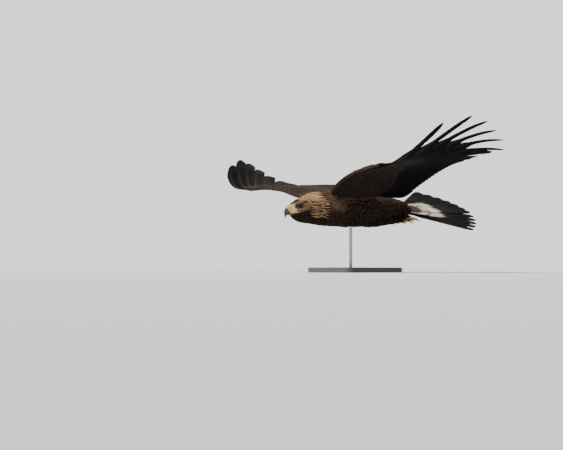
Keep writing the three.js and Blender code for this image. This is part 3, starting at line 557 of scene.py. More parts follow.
# Small body feathers: leaves laid along the skin
def lie_direction(bird, normal):
    """Which way the feathers point at a place on the skin, in the bird's frame."""
    x, y = bird[0], bird[1]
    side = 1 if x > 0 else -1
    if abs(x) > 100 or (abs(x) > 88 and normal[1] < -0.4):
        front = max(0.0, -normal[1])
        share = float(np.clip((abs(x) - 100) / 430, 0, 1))
        outward_share = 0.05 + 0.75 * share + 0.9 * front
        return np.array([side * outward_share, 1.0, 0.12 + 0.9 * front * (1 if normal[2] > 0 else -1)])
    on_face = smooth((-262 - y) / 25)
    rise = 0.32 if bird[2] > 0 else 0.1 - 0.7 * float(smooth((-22 - bird[2]) / 8))
    on_body = np.array([side * 0.12, 1.0, -0.12])
    return mix(on_body, np.array([side * 0.25, 1.0, rise]), float(on_face))


# Feather sizes by zone: (spacing, length, width, lift of the tip), in millimetres
def feather_size(bird, normal):
    x, y, z = bird
    if abs(x) > 100:
        reach = (y - float(flow(LEADING_EDGE, abs(x)))) / (
            float(flow(CORE_BACK, abs(x))) - float(flow(LEADING_EDGE, abs(x))))
        length = 8 + 18 * float(smooth(reach / 0.7))
        rim = max(0.0, -normal[1])
        return 2.4 + length * 0.16, length, length * 0.56, (1.0 + 0.04 * length) * (1 - 0.7 * rim)
    if y < -262:
        near = smooth((-262 - y) / 30)
        length = float(mix(13, 5.2, near))
        return length * 0.26, length, length * 0.42, float(mix(1.1, 0.5, near))
    if y < -170:
        share = smooth((y + 262) / 92)
        golden = z > -20
        length = float(mix(15, 34, share))
        wide = 0.22 if golden else 0.42
        lift = float(mix(1.4, 5.5 if golden else 3.4, share))
        return float(mix(3.3, 5.8, share)), length, length * wide, lift
    if y > 150 and z < -22:
        return 5.2, 46, 11, 4.0
    if y > 60 and z < -45:
        return 5.4, 26, 10.5, 3.2
    share = smooth((y + 170) / 120)
    return float(mix(6.0, 7.0, share)), float(mix(30, 35, share)), float(mix(12, 15, share)), 4.4


def hackle_size(bird, normal):
    """The few long loose hackles that stand over the side of the neck."""
    x, y, z = bird
    if -232 < y < -182 and -40 < z < 34 and abs(x) > 14:
        return 7.8, 34, 6.6, 6.5
    return None


# Side of the cells that roots are sorted into, as wide as the widest spacing between them
ROOT_CELL = 9.0
NEIGHBOURS = [(i, j, k) for i in (-1, 0, 1) for j in (-1, 0, 1) for k in (-1, 0, 1)]


def crowded(grid, key, place, gap):
    """Whether another root lies closer to a place than the gap."""
    for i, j, k in NEIGHBOURS:
        for other in grid.get((key[0] + i, key[1] + j, key[2] + k), ()):
            d = place - other
            if d[0] * d[0] + d[1] * d[1] + d[2] * d[2] < gap * gap:
                return True
    return False


def scatter(mesh, size_of=feather_size):
    """Roots spread over the skin at each zone's own spacing, as (place, normal, size)."""
    centre, normal = polygon_array(mesh, "center"), polygon_array(mesh, "normal")
    bird = to_bird(centre)
    grid, kept = {}, []
    for i in RNG.permutation(len(centre)):
        place = bird[i]
        if bare(place) or faces_away(place, normal[i]):
            continue
        size = size_of(place, normal[i])
        if size is None:
            continue
        key = tuple((place // ROOT_CELL).astype(int))
        if not crowded(grid, key, place, size[0]):
            grid.setdefault(key, []).append(place)
            kept.append((centre[i], normal[i], size))
    return kept


def bare(p):
    """Places that carry no small feathers: the eyes, and what the bill and the tail's own tiers cover."""
    x, y, z = p
    if (abs(x) - EYE_X - 4) ** 2 + (y - EYE_Y) ** 2 + (z - EYE_Z) ** 2 < 7.6 ** 2:
        return True
    ahead, above = face_frame(np.array([p]))
    if ahead[0] > LORE_AHEAD - 1.5 + 8 * float(smooth((-4 - above[0]) / 6)) and above[0] > -24:
        return True
    return y > 262 or (y > 196 and z < -30)


def faces_away(p, normal):
    """Rear walls of the arms, legs and trunk, where a feather would have to stand on end."""
    if abs(p[0]) > 96:
        return normal[1] > 0.35 or abs(normal[0]) > 0.75
    return normal[1] > 0.75


LEAF_ROWS, LEAF_COLUMNS = 7, 5
LEAF_WIDTH = np.array([0.35, 0.78, 0.97, 1.0, 0.9, 0.62, 0.1])
LANCE_WIDTH = np.array([0.5, 0.95, 1.0, 0.84, 0.6, 0.34, 0.05])


def leaf_faces(rows, columns):
    """Faces of one leaf: a curved top, a flat underside between its edges, and two small ends."""
    quads = []
    for i in range(rows - 1):
        a, b = i * columns, (i + 1) * columns
        quads += [(a + j, a + j + 1, b + j + 1, b + j) for j in range(columns - 1)]
        quads.append((a + columns - 1, a, b, b + columns - 1))
    ends, last = [], (rows - 1) * columns
    for j in range(1, columns - 1):
        ends.append((0, j + 1, j))
        ends.append((last, last + j, last + j + 1))
    return np.array(quads), np.array(ends)


def lay_leaves(tree, roots, hackles=False):
    """Walks each leaf back along the skin from its root, so that it follows the body."""
    tops, colors, barbs, homes = [], [], [], []
    across = np.linspace(-1, 1, LEAF_COLUMNS)
    share = np.linspace(0, 1, LEAF_ROWS)
    places = np.array([r[0] for r in roots])
    normals = np.array([r[1] for r in roots])
    bird = to_bird(places)
    tint = markings(bird, normals)
    home = unwrap(bird, normals)
    for i, (place, normal, size) in enumerate(roots):
        _, length, width, lift = size
        wild = RNG.normal(size=5)
        lie = lie_direction(bird[i], normal)
        lie = lie + np.array([0.07, 0.0, 0.07]) * wild[:3]
        lie = turned(lie[None], -BODY_ROLL)[0]
        length *= 1 + 0.10 * float(np.clip(wild[3], -2, 2))
        step = length * MM / (LEAF_ROWS - 1)
        spot, up = Vector(place), Vector(normal)
        ahead = Vector(lie)
        straight = (abs(bird[i, 0]) > 96 and normal[1] > -0.25) or bird[i, 1] > 150
        hold = 0.9 if straight else 0.3 if abs(bird[i, 0]) > 96 else 0.55
        golden = hackles or (tint[i, 0] > 0.22 and bird[i, 1] > -268)
        shape = LANCE_WIDTH if golden else LEAF_WIDTH
        rise = lift * (1 + 0.25 * float(np.clip(wild[4], -2, 2)))
        rows = []
        for k in range(LEAF_ROWS):
            ahead = (ahead - up * ahead.dot(up)).normalized()
            side = up.cross(ahead)
            t = share[k]
            high = (-0.25 + (rise + 0.25) * t ** 0.75) * MM
            half = 0.5 * width * MM * shape[k]
            bow = 0.10 * width * MM
            middle = spot + up * high
            for s in across:
                rows.append(middle + side * (half * s) + up * (bow * (1 - s * s) * (0.4 + 0.6 * shape[k])))
            target = spot + ahead * step
            found, turn, _, _ = tree.find_nearest(target)
            if found is not None and turn.dot(up) > hold:
                spot, up = found, (up + turn * 1.2).normalized()
            else:
                spot = target
        tops.append(rows)
        own = mix(tint[i], HACKLE, 0.8) if hackles else tint[i]
        colors.append(leaf_color(own, bird[i], normal, share, across, golden))
        barbs.append((share[:, None] * length - np.abs(across)[None] * width * 0.5).ravel())
        patch = np.stack(np.broadcast_arrays(across[None] * 0.0014, share[:, None] * 0.0028 - 0.0014), -1)
        homes.append((home[i] + patch.reshape(-1, 2)))
    return np.array(tops, float), np.array(colors), np.array(barbs), np.array(homes)


def leaf_color(tint, bird, normal, share, across, golden):
    """A leaf is darker at its root and down its shaft, and paler on its edge where the bird is scalloped."""
    tone = 1 + (0.26 if golden else 0.12) * float(np.clip(RNG.normal(), -2, 2))
    warm = 1 + 0.05 * RNG.normal()
    own = np.clip(tint * tone, 0, 1) * np.array([warm, 1.0, 1 / warm])
    base = np.tile(own, (len(share) * len(across), 1))
    t = np.repeat(share, len(across))
    s = np.tile(np.abs(across), len(share))
    edge = np.maximum(smooth((t - 0.72) / 0.25), smooth((s - 0.55) / 0.5) * smooth((t - 0.35) / 0.4))
    wing_top = abs(bird[0]) > 88 and normal[2] > 0
    wing_front = abs(bird[0]) > 60 and bird[1] < -120
    pale = 0.1
    if golden:
        pale = 0.4
    elif wing_top:
        pale = 0.3 + 0.3 * float(smooth((-165 - bird[1]) / 20))
    elif wing_front:
        pale = 0.1 + 0.5 * float(smooth((-normal[1] - 0.45) / 0.3))
    elif abs(bird[0]) < 88 and bird[1] > -170 and bird[2] > 10:
        pale = 0.15
    pale *= 0.6 + 0.8 * RNG.random()
    root = mix(0.22 if golden else 0.5, 1.0, smooth(t / 0.6))
    shaft = 1 - 0.35 * smooth((0.3 - s) / 0.3) * (0.6 if golden else 1.0)
    out = base * (root * shaft)[:, None]
    return out + (np.array(BUFF) * (1.25 if golden else 0.85) - out) * (edge * pale)[:, None]


def leaves_object(name, laid, rows, columns):
    points, colors, barbs, homes = laid
    count = len(points)
    quads, tris = leaf_faces(rows, columns)
    step = (np.arange(count) * rows * columns)[:, None, None]
    return make_mesh(
        name, points.reshape(-1, 3), (quads[None] + step).reshape(-1, 4), (tris[None] + step).reshape(-1, 3),
        color=colors.reshape(-1, 3), barb=barbs.ravel(), uv=homes.reshape(-1, 2),
    )


# Long feathers: thin plates with a raised shaft
FLIGHT_WIDTH = [(0, 0.14), (0.1, 0.3), (0.24, 0.85), (0.4, 1), (0.8, 0.97), (0.9, 0.88), (0.955, 0.68),
                (0.985, 0.4), (1, 0.08)]
SECONDARY_WIDTH = [(0, 0.14), (0.1, 0.3), (0.24, 0.85), (0.4, 1), (0.78, 0.96), (0.87, 0.84), (0.93, 0.62),
                   (0.975, 0.34), (1, 0.06)]
TAIL_WIDTH = [(0, 0.14), (0.1, 0.3), (0.24, 0.85), (0.4, 0.95), (0.8, 1), (0.92, 0.92), (0.97, 0.7),
              (0.99, 0.45), (1, 0.12)]
COVERT_WIDTH = [(0, 0.4), (0.3, 0.86), (0.65, 1), (0.85, 0.86), (0.95, 0.55), (1, 0.12)]
VANE_THICKNESS = 0.32
# Half width of the shaft as a share of the vane's, slant of the barbs, and the share of a primary's length
# over which it narrows to a finger
QUILL_WIDTH = 0.13
BARB_SLANT = 1.1
FINGER_NOTCH = 0.16


def plate_faces(rows, columns):
    """Faces of one plate whose top points come first and its underside's after them."""
    under = rows * columns
    quads = []
    for i in range(rows - 1):
        for j in range(columns - 1):
            a = i * columns + j
            quads.append((a, a + 1, a + columns + 1, a + columns))
            quads.append((under + a, under + a + columns, under + a + columns + 1, under + a + 1))
        lead, trail = i * columns, (i + 1) * columns - 1
        quads.append((lead, lead + columns, under + lead + columns, under + lead))
        quads.append((trail, under + trail, under + trail + columns, trail + columns))
    last = (rows - 1) * columns
    for j in range(columns - 1):
        quads.append((j, under + j, under + j + 1, j + 1))
        quads.append((last + j, last + j + 1, under + last + j + 1, under + last + j))
    return np.array(quads)


def feather(root, tip, width, lead_share, profile, surface, rows, columns, slope=0.1, offset=0.0, sweep=0.0,
            finger_at=2.0, finger_share=1.0, finger_slope=0.0, finger_tilt=None, lead_sign=1, shaft=1.0,
            splits=2, camber=0.9, seed=0):
    """Top and underside points of a long feather laid over a surface, with its own coordinates."""
    rng = np.random.default_rng(seed)
    root, tip = np.array(root, float), np.array(tip, float)
    run = tip - root
    length = np.hypot(*run)
    ahead = run / length
    lead = np.array([ahead[1], -ahead[0]]) * lead_sign
    t = np.linspace(0, 1, rows) ** 0.92
    past = smooth((t - finger_at) / FINGER_NOTCH)
    wide = width * flow(profile, t) * (1 + (finger_share - 1) * past)
    middle = root + run * t[:, None] + lead * (sweep * 4 * t * (1 - t))[:, None]
    if finger_tilt is not None:
        beside = middle + lead
        own_slope = surface(beside[:, 0], beside[:, 1]) - surface(middle[:, 0], middle[:, 1])
        finger_slope = finger_tilt - own_slope
    cross = slope + (finger_slope - slope) * past
    s = np.linspace(1, -1, columns)
    s = np.sign(s) * np.abs(s) ** 0.8
    torn = np.ones((rows, columns))
    for _ in range(splits):
        place, depth = rng.uniform(0.35, 0.97), rng.uniform(0.06, 0.2)
        side = rng.choice([-1, 1])
        dip = depth * np.exp(-(((t - place) / (0.6 / rows)) ** 2))
        torn *= 1 - dip[:, None] * ((s * side)[None] > 0.5)
    share = np.where(s > 0, lead_share, 1 - lead_share)
    ragged = 1 + 0.012 * rng.normal(size=(rows, columns))
    away = wide[:, None] * (s * share)[None] * torn * ragged
    x = middle[:, :1] + lead[0] * away
    y = middle[:, 1:] + lead[1] * away
    arch = -camber * (s ** 2)[None] * smooth(t / 0.2)[:, None]
    z = surface(x, y) + offset + cross[:, None] * away + arch
    quill = shaft * mix(1.5, 0.35, t)[:, None] * np.exp(-((s / QUILL_WIDTH) ** 2))[None]
    top = np.stack([x, y, z + VANE_THICKNESS / 2 + quill * 0.6], -1)
    under = np.stack([x, y, z - VANE_THICKNESS / 2 - quill * 0.8], -1)
    barb = t[:, None] * length - np.abs(away) * BARB_SLANT
    return {"points": np.concatenate([top.reshape(-1, 3), under.reshape(-1, 3)]),
            "barb": np.tile(barb.ravel(), 2),
            "t": np.tile(np.repeat(t, columns), 2),
            "s": np.tile(np.tile(s, rows), 2),
            "top": np.repeat([1.0, 0.0], rows * columns),
            "length": length}


def plates_object(name, feathers, rows, columns, paint_feather):
    """Joins long feathers of one grid into one mesh, each with a patch of its own to bake to."""
    faces = plate_faces(rows, columns)
    each = 2 * rows * columns
    points = np.concatenate([f["points"] for f in feathers])
    color = np.concatenate([paint_feather(f, k) for k, f in enumerate(feathers)])
    barb = np.concatenate([f["barb"] for f in feathers])
    step = (np.arange(len(feathers)) * each)[:, None, None]
    quads = (faces[None] + step).reshape(-1, 4)
    home = np.concatenate([plate_home(f, k, len(feathers)) for k, f in enumerate(feathers)])
    if feathers[0].get("mirror"):
        quads = quads[:, ::-1]
    return make_mesh(name, to_world(points), quads, color=color, barb=barb, uv=home)


def plate_home(f, k, count):
    """An upright strip of the unit square for each feather, top and underside side by side."""
    columns = math.ceil(math.sqrt(count * 3.0))
    rows = math.ceil(count / columns)
    left, low = (k % columns) / columns, (k // columns) / rows
    u = left + (0.5 + 0.44 * f["s"]) * 0.46 / columns + (1 - f["top"]) * 0.48 / columns
    v = low + (0.03 + 0.94 * f["t"]) / rows
    return np.stack([u, v], -1)


def mirrored(f):
    twin = dict(f)
    twin["points"] = f["points"] * np.array([-1, 1, 1])
    twin["mirror"] = True
    return twin


# Flight feathers of the wing
FLIGHT_SLOPE = 0.1
PRIMARY_ROWS, SECONDARY_ROWS, FLIGHT_COLUMNS = 72, 56, 13
FOLD_FROM = 0.55
STACK_FROM, STACK_DROP = 0.45, 6.5
SECONDARIES = 15
TERTIALS = 3


def stack_drop(share):
    return STACK_DROP * np.maximum(0, share - STACK_FROM) / (1 - STACK_FROM)


def primaries(side):
    made, hand, last = [], HANDS[side], len(PRIMARY_TIPS) - 1

    def surface(x, y):
        return wing_height(x, y, hand)

    for k, tip in enumerate(PRIMARY_TIPS):
        share = k / last
        x = mix(*PRIMARY_ROOT_X, share)
        finger = 1 - (last - k) / (hand["fingers"] - 1)
        fold = hand["fold"] * max(0, share - FOLD_FROM) / (1 - FOLD_FROM)
        made.append(feather(
            (x, float(flow(CORE_BACK, x)) - 16 * (1 - 0.3 * share)), (tip[0], tip[1] + fold), 58 - 8 * share,
            mix(0.4, 0.28, share), FLIGHT_WIDTH, surface, PRIMARY_ROWS, FLIGHT_COLUMNS,
            slope=FLIGHT_SLOPE, offset=-stack_drop(share), sweep=mix(2, hand["bow"], share * share),
            finger_at=mix(*hand["finger_at"], finger) if finger >= 0 else 2,
            finger_share=hand["finger_share"],
            finger_slope=hand["twist"], finger_tilt=mix(*hand["tilt"], finger) if hand["tilt"] else None,
            splits=3, seed=100 + k))
    return made


def arm_line(share):
    x = mix(*SECONDARY_ROOT_X, share)
    root = np.array([x, float(flow(CORE_BACK, x)) - 20])
    tip = np.array([mix(*SECONDARY_TIP_X, share), 197 - 3 * math.sin(share * math.pi)])
    return root, tip


def hand_line(share):
    place = share * (len(PRIMARY_TIPS) - 1)
    k = int(np.clip(place, 0, len(PRIMARY_TIPS) - 2))
    x = mix(*PRIMARY_ROOT_X, share)
    root = np.array([x, float(flow(CORE_BACK, x)) - 16])
    return root, mix(PRIMARY_TIPS[k], PRIMARY_TIPS[k + 1], place - k)


def secondaries():
    made = []
    for k in range(SECONDARIES):
        root, tip = arm_line(k / (SECONDARIES - 1))
        made.append(feather(root, tip, 46, 0.42, SECONDARY_WIDTH, wing_height, SECONDARY_ROWS,
                            FLIGHT_COLUMNS, slope=FLIGHT_SLOPE, splits=2, seed=200 + k))
    for k in range(TERTIALS):
        inward = (k + 1) / TERTIALS
        x = mix(SECONDARY_ROOT_X[0], 116, inward)
        tip = (mix(SECONDARY_TIP_X[0], 96, inward), mix(197, 186, inward))
        root = (x, float(flow(CORE_BACK, x)) - 22)
        made.append(feather(root, tip, 46, 0.42, FLIGHT_WIDTH, wing_height, SECONDARY_ROWS,
                            FLIGHT_COLUMNS, slope=FLIGHT_SLOPE, splits=1, seed=230 + k))
    return made


# Covert tiers: (line, count, from, to, width, (height at the root, at the tip), face, span)
TIERS = [
    ("arm", 21, 0.02, 0.46, 28, (5.4, 3.6), 1, (0.02, 1.05)),
    ("arm", 22, -0.03, 0.31, 25, (8.0, 5.2), 1, (0.02, 1.06)),
    ("arm", 22, -0.12, 0.18, 23, (10.5, 6.8), 1, (0.03, 1.07)),
    ("arm", 20, 0.02, 0.42, 30, (5.2, 3.8), -1, (0.02, 1.05)),
    ("arm", 21, -0.03, 0.28, 27, (8.4, 5.4), -1, (0.02, 1.06)),
    ("arm", 21, -0.12, 0.15, 24, (10.5, 7.0), -1, (0.03, 1.07)),
    ("hand", 11, 0.02, 0.34, 24, (6.0, 4.6), 1, (-0.08, 0.96)),
    ("hand", 12, -0.02, 0.2, 21, (8.2, 6.0), 1, (-0.08, 0.96)),
    ("hand", 11, 0.02, 0.32, 24, (6.2, 4.8), -1, (-0.08, 0.96)),
    ("hand", 12, -0.02, 0.18, 21, (8.6, 6.4), -1, (-0.08, 0.96)),
]
COVERT_ROWS, COVERT_COLUMNS = 22, 9


def coverts():
    made = []
    for tier, (line, count, start, end, width, height, face, span) in enumerate(TIERS):
        follow = arm_line if line == "arm" else hand_line
        for k in range(count):
            share = mix(*span, k / (count - 1))
            root, tip = follow(share)
            drop = stack_drop(share) if line == "hand" else 0.0
            thin = float(np.clip(flow(CORE_HALF, root[0]) / 12, 0.75, 1))
            jog = RNG.normal(size=2)
            from_here, to_there = mix(root, tip, start), mix(root, tip, end + 0.012 * jog[0])
            offset = face * thin * np.linspace(*height, COVERT_ROWS)[:, None] - drop
            f = feather(from_here, to_there, width * (1 + 0.04 * jog[1]), 0.45, COVERT_WIDTH, wing_height,
                        COVERT_ROWS, COVERT_COLUMNS, slope=0.08, offset=offset, shaft=0.45, splits=1,
                        camber=face * 0.8, seed=300 + 40 * tier + k)
            f["face"], f["tier"] = face, tier
            made.append(f)
    return made


ALULA_FEATHERS = 4


def alula_surface(k):
    """The height at which one feather of the alula lies over the wing, each above the one before."""
    def surface(x, y):
        return wing_height(x, y) + 5 + (6.2 + 1.4 * k) * smooth((x - 356) / 36)
    return surface


def alula():
    made = []
    for k in range(ALULA_FEATHERS):
        root, tip = (358 + 4 * k, -180 + 8 * k), (352 + 118 - 20 * k, -184 + 11 * k)
        f = feather(root, tip, 17, 0.45, COVERT_WIDTH, alula_surface(k), COVERT_ROWS, COVERT_COLUMNS,
                    slope=0.0, offset=0.0, shaft=0.5, splits=1, camber=1.0, seed=900 + k)
        f["face"], f["tier"] = 1, 4
        made.append(f)
    return made


def paint_flight(f, k):
    """Blackish flight feathers, paler and faintly barred towards the root of the inner vane."""
    t, s = f["t"], f["s"]
    pale = smooth((0.5 - t) / 0.35) * smooth((-s - 0.05) / 0.3)
    bars = 0.5 + 0.5 * np.sin(f["barb"] * 2 * math.pi / 27 + k)
    tone = 1 + 0.12 * math.sin(k * 2.4)
    base = blend_many(
        np.tile(np.array(BLACK_BROWN) * tone, (len(t), 1)),
        (mix(GREY_BROWN, DARK_BROWN, 0.45), pale * (0.2 + 0.4 * bars) * (1 - 0.7 * f["top"])),
        (mix(DARK_BROWN, BROWN, 0.3), 0.35 * smooth((np.abs(s) - 0.55) / 0.4) * f["top"]),
        (BUFF, 0.2 * smooth((t - 0.975) / 0.03)),
    )
    quill = np.exp(-((s / 0.12) ** 2))
    return base + (np.array((0.10, 0.075, 0.055)) - base) * (quill * 0.55 * (1 - t))[:, None]


def paint_covert(f, k):
    t, s = f["t"], f["s"]
    rng = np.random.default_rng(4000 + k)
    tone = 1 + 0.14 * rng.normal()
    upper = f["face"] > 0
    # under coverts darker than upper ones: partly their own colour, partly painted shade on the wing's
    # underside
    base = np.array(mix(DARK_BROWN, BROWN, 0.4) if upper else mix(BLACK_BROWN, DARK_BROWN, 0.35)) * tone
    edge = np.maximum(smooth((t - 0.86) / 0.12), smooth((np.abs(s) - 0.7) / 0.3) * smooth((t - 0.45) / 0.3))
    pale = (0.3 if upper else 0.05) * (0.6 + 0.7 * rng.random())
    return blend_many(
        np.tile(base, (len(t), 1)),
        (BLACK_BROWN, 0.5 * smooth((0.25 - np.abs(s)) / 0.25)),
        (mix(BUFF, WARM_BROWN, 0.35), edge * pale),
    )


# Tail
TAIL_ROOT_Y = 214
TAIL_LENGTH = 307
TAIL_HALF_FAN = 46
RECTRIX_PAIRS = 6
RECTRIX_ROWS = 64
RECTRIX_SLOPE, RECTRIX_DROP = 0.05, -0.6
# Tail covert tiers: (count, length, width, height, spread in degrees, face)
TAIL_TIERS = [
    (9, 132, 27, 4.6, 29, 1), (8, 96, 25, 7.4, 26, 1), (6, 62, 26, 10, 20, 1),
    (7, 126, 32, -4.6, 28, -1), (7, 92, 30, -7.4, 25, -1),
]


def flat_tail(x, y):
    """The tail is shaped flat and turned into its place afterwards."""
    return np.zeros_like(x)


def tail_feather(angle, start, length, **options):
    turn = math.radians(angle)
    root = np.array([math.sin(turn) * 16, TAIL_ROOT_Y + start])
    tip = root + np.array([math.sin(turn), math.cos(turn)]) * length
    f = feather(root, tip, surface=flat_tail, lead_sign=-1 if angle < 0 else 1, **options)
    f["points"] = tail_to_bird(f["points"])
    f["mirror"] = angle < 0
    f["angle"] = angle
    return f


def rectrices():
    made = []
    for pair in range(RECTRIX_PAIRS):
        for side in (-1, 1):
            angle = side * ((pair + 0.45) / (RECTRIX_PAIRS - 0.55)) * TAIL_HALF_FAN
            top = pair == 0 and side > 0
            made.append(tail_feather(
                angle, 0, TAIL_LENGTH - 1.2 * pair, width=56 - 1.5 * pair,
                lead_share=mix(0.48, 0.36, pair / (RECTRIX_PAIRS - 1)), profile=TAIL_WIDTH,
                rows=RECTRIX_ROWS, columns=FLIGHT_COLUMNS, slope=0.02 if top else RECTRIX_SLOPE,
                offset=2.4 if top else RECTRIX_DROP * pair, splits=3, seed=500 + 2 * pair + (side > 0)))
    return made


def tail_coverts():
    made = []
    for row, (count, length, width, height, spread, face) in enumerate(TAIL_TIERS):
        for k in range(count):
            share = (k / (count - 1)) * 2 - 1
            f = tail_feather(share * spread, -6 - 2 * row, length * (1 - 0.16 * share * share), width=width,
                             lead_share=0.5, profile=COVERT_WIDTH, rows=COVERT_ROWS, columns=COVERT_COLUMNS,
                             slope=0.06 if k % 2 else 0.04, offset=height + (0.5 if k % 2 else 0.0),
                             shaft=0.4, splits=1, camber=face * 0.8, seed=700 + 20 * row + k)
            f["face"], f["tier"] = face, 10 + row
            made.append(f)
    return made


def paint_rectrix(f, k):
    """White at the root with grey mottling, then a broad dark band; the outer feathers are darker, partly
    their own colour and partly painted shade.
    """
    t, s = f["t"], f["s"]
    rng = np.random.default_rng(600 + k)
    # outer feathers darkened: partly their own dark webs, partly painted shade
    outer = smooth((abs(f["angle"]) - (19 if f["angle"] > 0 else 25)) / 8)
    ragged = sum(np.sin(s * pitch + rng.uniform(0, 6.3)) for pitch in (4.1, 9.3, 17.7))
    line = 0.50 + 0.02 * rng.normal() - 0.03 * np.abs(s) + 0.014 * ragged
    dark = smooth((t - line) / 0.09)
    mottle = 0.5 + 0.5 * np.sin(s * 11 + rng.uniform(0, 6.3)) * np.sin(t * 19 + rng.uniform(0, 6.3))
    lead_dark = smooth((s - 0.25) / 0.4) * (0.3 + 0.6 * outer)
    grey = np.array(mix(GREY_BROWN, BLACK_BROWN, 0.84 + 0.14 * rng.random()))
    return blend_many(
        np.tile(np.array(WHITE), (len(t), 1)),
        (GREY_BROWN, 0.3 * mottle * smooth((t - 0.3) / 0.25)),
        (mix(GREY_BROWN, BLACK_BROWN, 0.85), lead_dark * smooth((t - 0.2) / 0.2)),
        (BLACK_BROWN, outer),
        (grey, dark),
        (BLACK_BROWN, dark * smooth((t - 0.66) / 0.16) * 0.94),
        (BUFF, 0.15 * smooth((t - 0.975) / 0.025)),
    )


def paint_tail_covert(f, k):
    t, s = f["t"], f["s"]
    rng = np.random.default_rng(8000 + k)
    low_tier = f["tier"] == 10
    brown = mix(BROWN, WARM_BROWN, 0.1 + 0.4 * rng.random())
    if f["face"] < 0:
        brown = mix(BROWN, DARK_BROWN, 0.3)
    share = 0.25 if low_tier and rng.random() < 0.55 else 0.98
    base = blend_many(np.tile(np.array(WHITE) * 0.9, (len(t), 1)), (brown, np.full(len(t), share)))
    return blend_many(base, (BLACK_BROWN, 0.35 * smooth((0.22 - np.abs(s)) / 0.22)),
                      (BUFF, 0.3 * smooth((t - 0.86) / 0.12)))


# Face
def beak_pieces():
    """Cere, upper bill and lower bill."""
    rings, rows = bill_rings(UPPER_BILL, 110, 64)
    ahead = rows[:, 0] * (rows[:, 1] > -12) + 99 * (rows[:, 1] <= -12)
    horn = rings[ahead >= CERE_AHEAD - 3]
    cere_rings, cere_rows = bill_rings(UPPER_BILL[:5], 110, 64, grow=0.55)
    keep = (cere_rows[:, 0] > 10) & (cere_rows[:, 0] < CERE_AHEAD)
    cere = cere_rings[keep]
    spots = cere_rows[keep]
    middle = cere.mean(1, keepdims=True)
    roll = 1 - 0.12 * smooth((spots[:, 0] - CERE_AHEAD + 1.3) / 1.3)[:, None, None]
    cere = middle + (cere - middle) * roll
    nose = np.array([face_point(side * 11.2, NOSTRIL_AHEAD, NOSTRIL_ABOVE) for side in (-1, 1)])
    color = np.tile(np.array((0.80, 0.50, 0.045)), (cere.shape[0] * cere.shape[1], 1))
    flat = cere.reshape(-1, 3)
    for spot in nose:
        d = (flat - spot) * np.array([0.6, 1.0, 0.8])
        hole = np.exp(-((np.linalg.norm(d, axis=1) / 1.9) ** 4))
        # painted shade in the nostril openings, which are pressed in only a little
        flat = flat - hole[:, None] * np.array([np.sign(spot[0]) * 2.4, 0, 0])
        color = color + (np.array((0.05, 0.015, 0.006)) - color) * hole[:, None]
        glow = np.exp(-((np.linalg.norm(d, axis=1) / 3.6) ** 2)) * (1 - hole)
        color = color + (np.array((0.70, 0.27, 0.02)) - color) * (glow * 0.7)[:, None]
    cere = flat.reshape(cere.shape)
    cere_piece = loft_object("cere_skin", to_world(cere), color=color)
    tip = smooth((np.array([r[:, 2].mean() for r in horn]) * -1 - 8) / 22)
    horn_color = np.repeat(mix((0.075, 0.085, 0.105), (0.012, 0.013, 0.016), tip[:, None]), 64, 0)
    upper = loft_object("bill_upper_horn", to_world(horn), color=horn_color)
    low_rings, _ = bill_rings(LOWER_BILL, 50, 48, narrow=-0.1)
    lower_color = np.tile(np.array((0.05, 0.055, 0.065)), (50 * 48, 1))
    back = smooth((np.repeat(finer(LOWER_BILL, 50)[:, 0], 48) - 27) / -6)
    lower_color = lower_color + (np.array((0.62, 0.36, 0.04)) - lower_color) * back[:, None]
    lower = loft_object("bill_lower_horn", to_world(low_rings), color=lower_color)
    return cere_piece, upper, lower


GAPE_PATH = [(7.6, 35, -18.4), (10.4, 28, -19.6), (15.5, 18, -21.6), (20, 8, -23.6), (23, -2, -24.6)]
GAPE_RADII = [1.0, 1.9, 1.7, 1.2, 0.4]


def on_skin(point, height):
    """The nearest place on the skin to a point, raised a little off it."""
    spot, up, _, _ = skin_tree.find_nearest(Vector(to_world(point[None])[0]))
    return to_bird(np.array(spot + up * height * MM)[None])[0]


def gape_piece(side, word):
    points = finer(GAPE_PATH, 40)
    path = face_point(side * points[:, 0], points[:, 1], points[:, 2])
    sink = smooth((32 - points[:, 1]) / 5)
    path = np.array([mix(p, on_skin(p, 0.7), w) for p, w in zip(path, sink)])
    rings = limb_rings(path, finer([(r,) for r in GAPE_RADII], 40)[:, 0], 16)
    fade = smooth((24 - points[:, 1]) / 14)[:, None]
    color = np.repeat(mix((0.74, 0.36, 0.05), (0.56, 0.36, 0.22), fade), 16, 0)
    return loft_object("gape_" + word, to_world(rings), color=color)


def eye_axis(side):
    return unit(np.array([side * 0.9, -0.42, -0.06]))


def eye_piece(side, word):
    """An eyeball with a dark iris and a black pupil set round its own axis."""
    axis = eye_axis(side)
    rows, sides = 48, 48
    first = unit(np.cross(axis, [0, 0, 1.0]))
    second = np.cross(axis, first)
    polar = np.linspace(0.02, math.pi - 0.02, rows)
    turn = np.arange(sides) * 2 * math.pi / sides
    ring = np.cos(turn)[:, None] * first + np.sin(turn)[:, None] * second
    bulge = 1 + 0.05 * np.exp(-((polar / 0.5) ** 2))
    out = np.cos(polar)[:, None, None] * axis + np.sin(polar)[:, None, None] * ring[None]
    centre = np.array([side * EYE_X, EYE_Y, EYE_Z])
    rings = centre + out * (EYE_RADIUS - 0.1) * bulge[:, None, None]
    angle = np.degrees(np.repeat(polar, sides))
    spokes = 0.5 + 0.5 * np.sin(np.tile(turn, rows) * 23)
    iris = mix((0.062, 0.026, 0.008), (0.026, 0.011, 0.004), spokes[:, None])
    color = blend_many(iris, ((0.004, 0.003, 0.003), smooth((21 - angle) / 3)),
                       ((0.006, 0.004, 0.003), smooth((angle - 42) / 5)))
    return loft_object("eyeball_" + word, to_world(rings), color=color)


LID_HALF_WIDTH, LID_HALF_HEIGHT = 6.9, 5.7


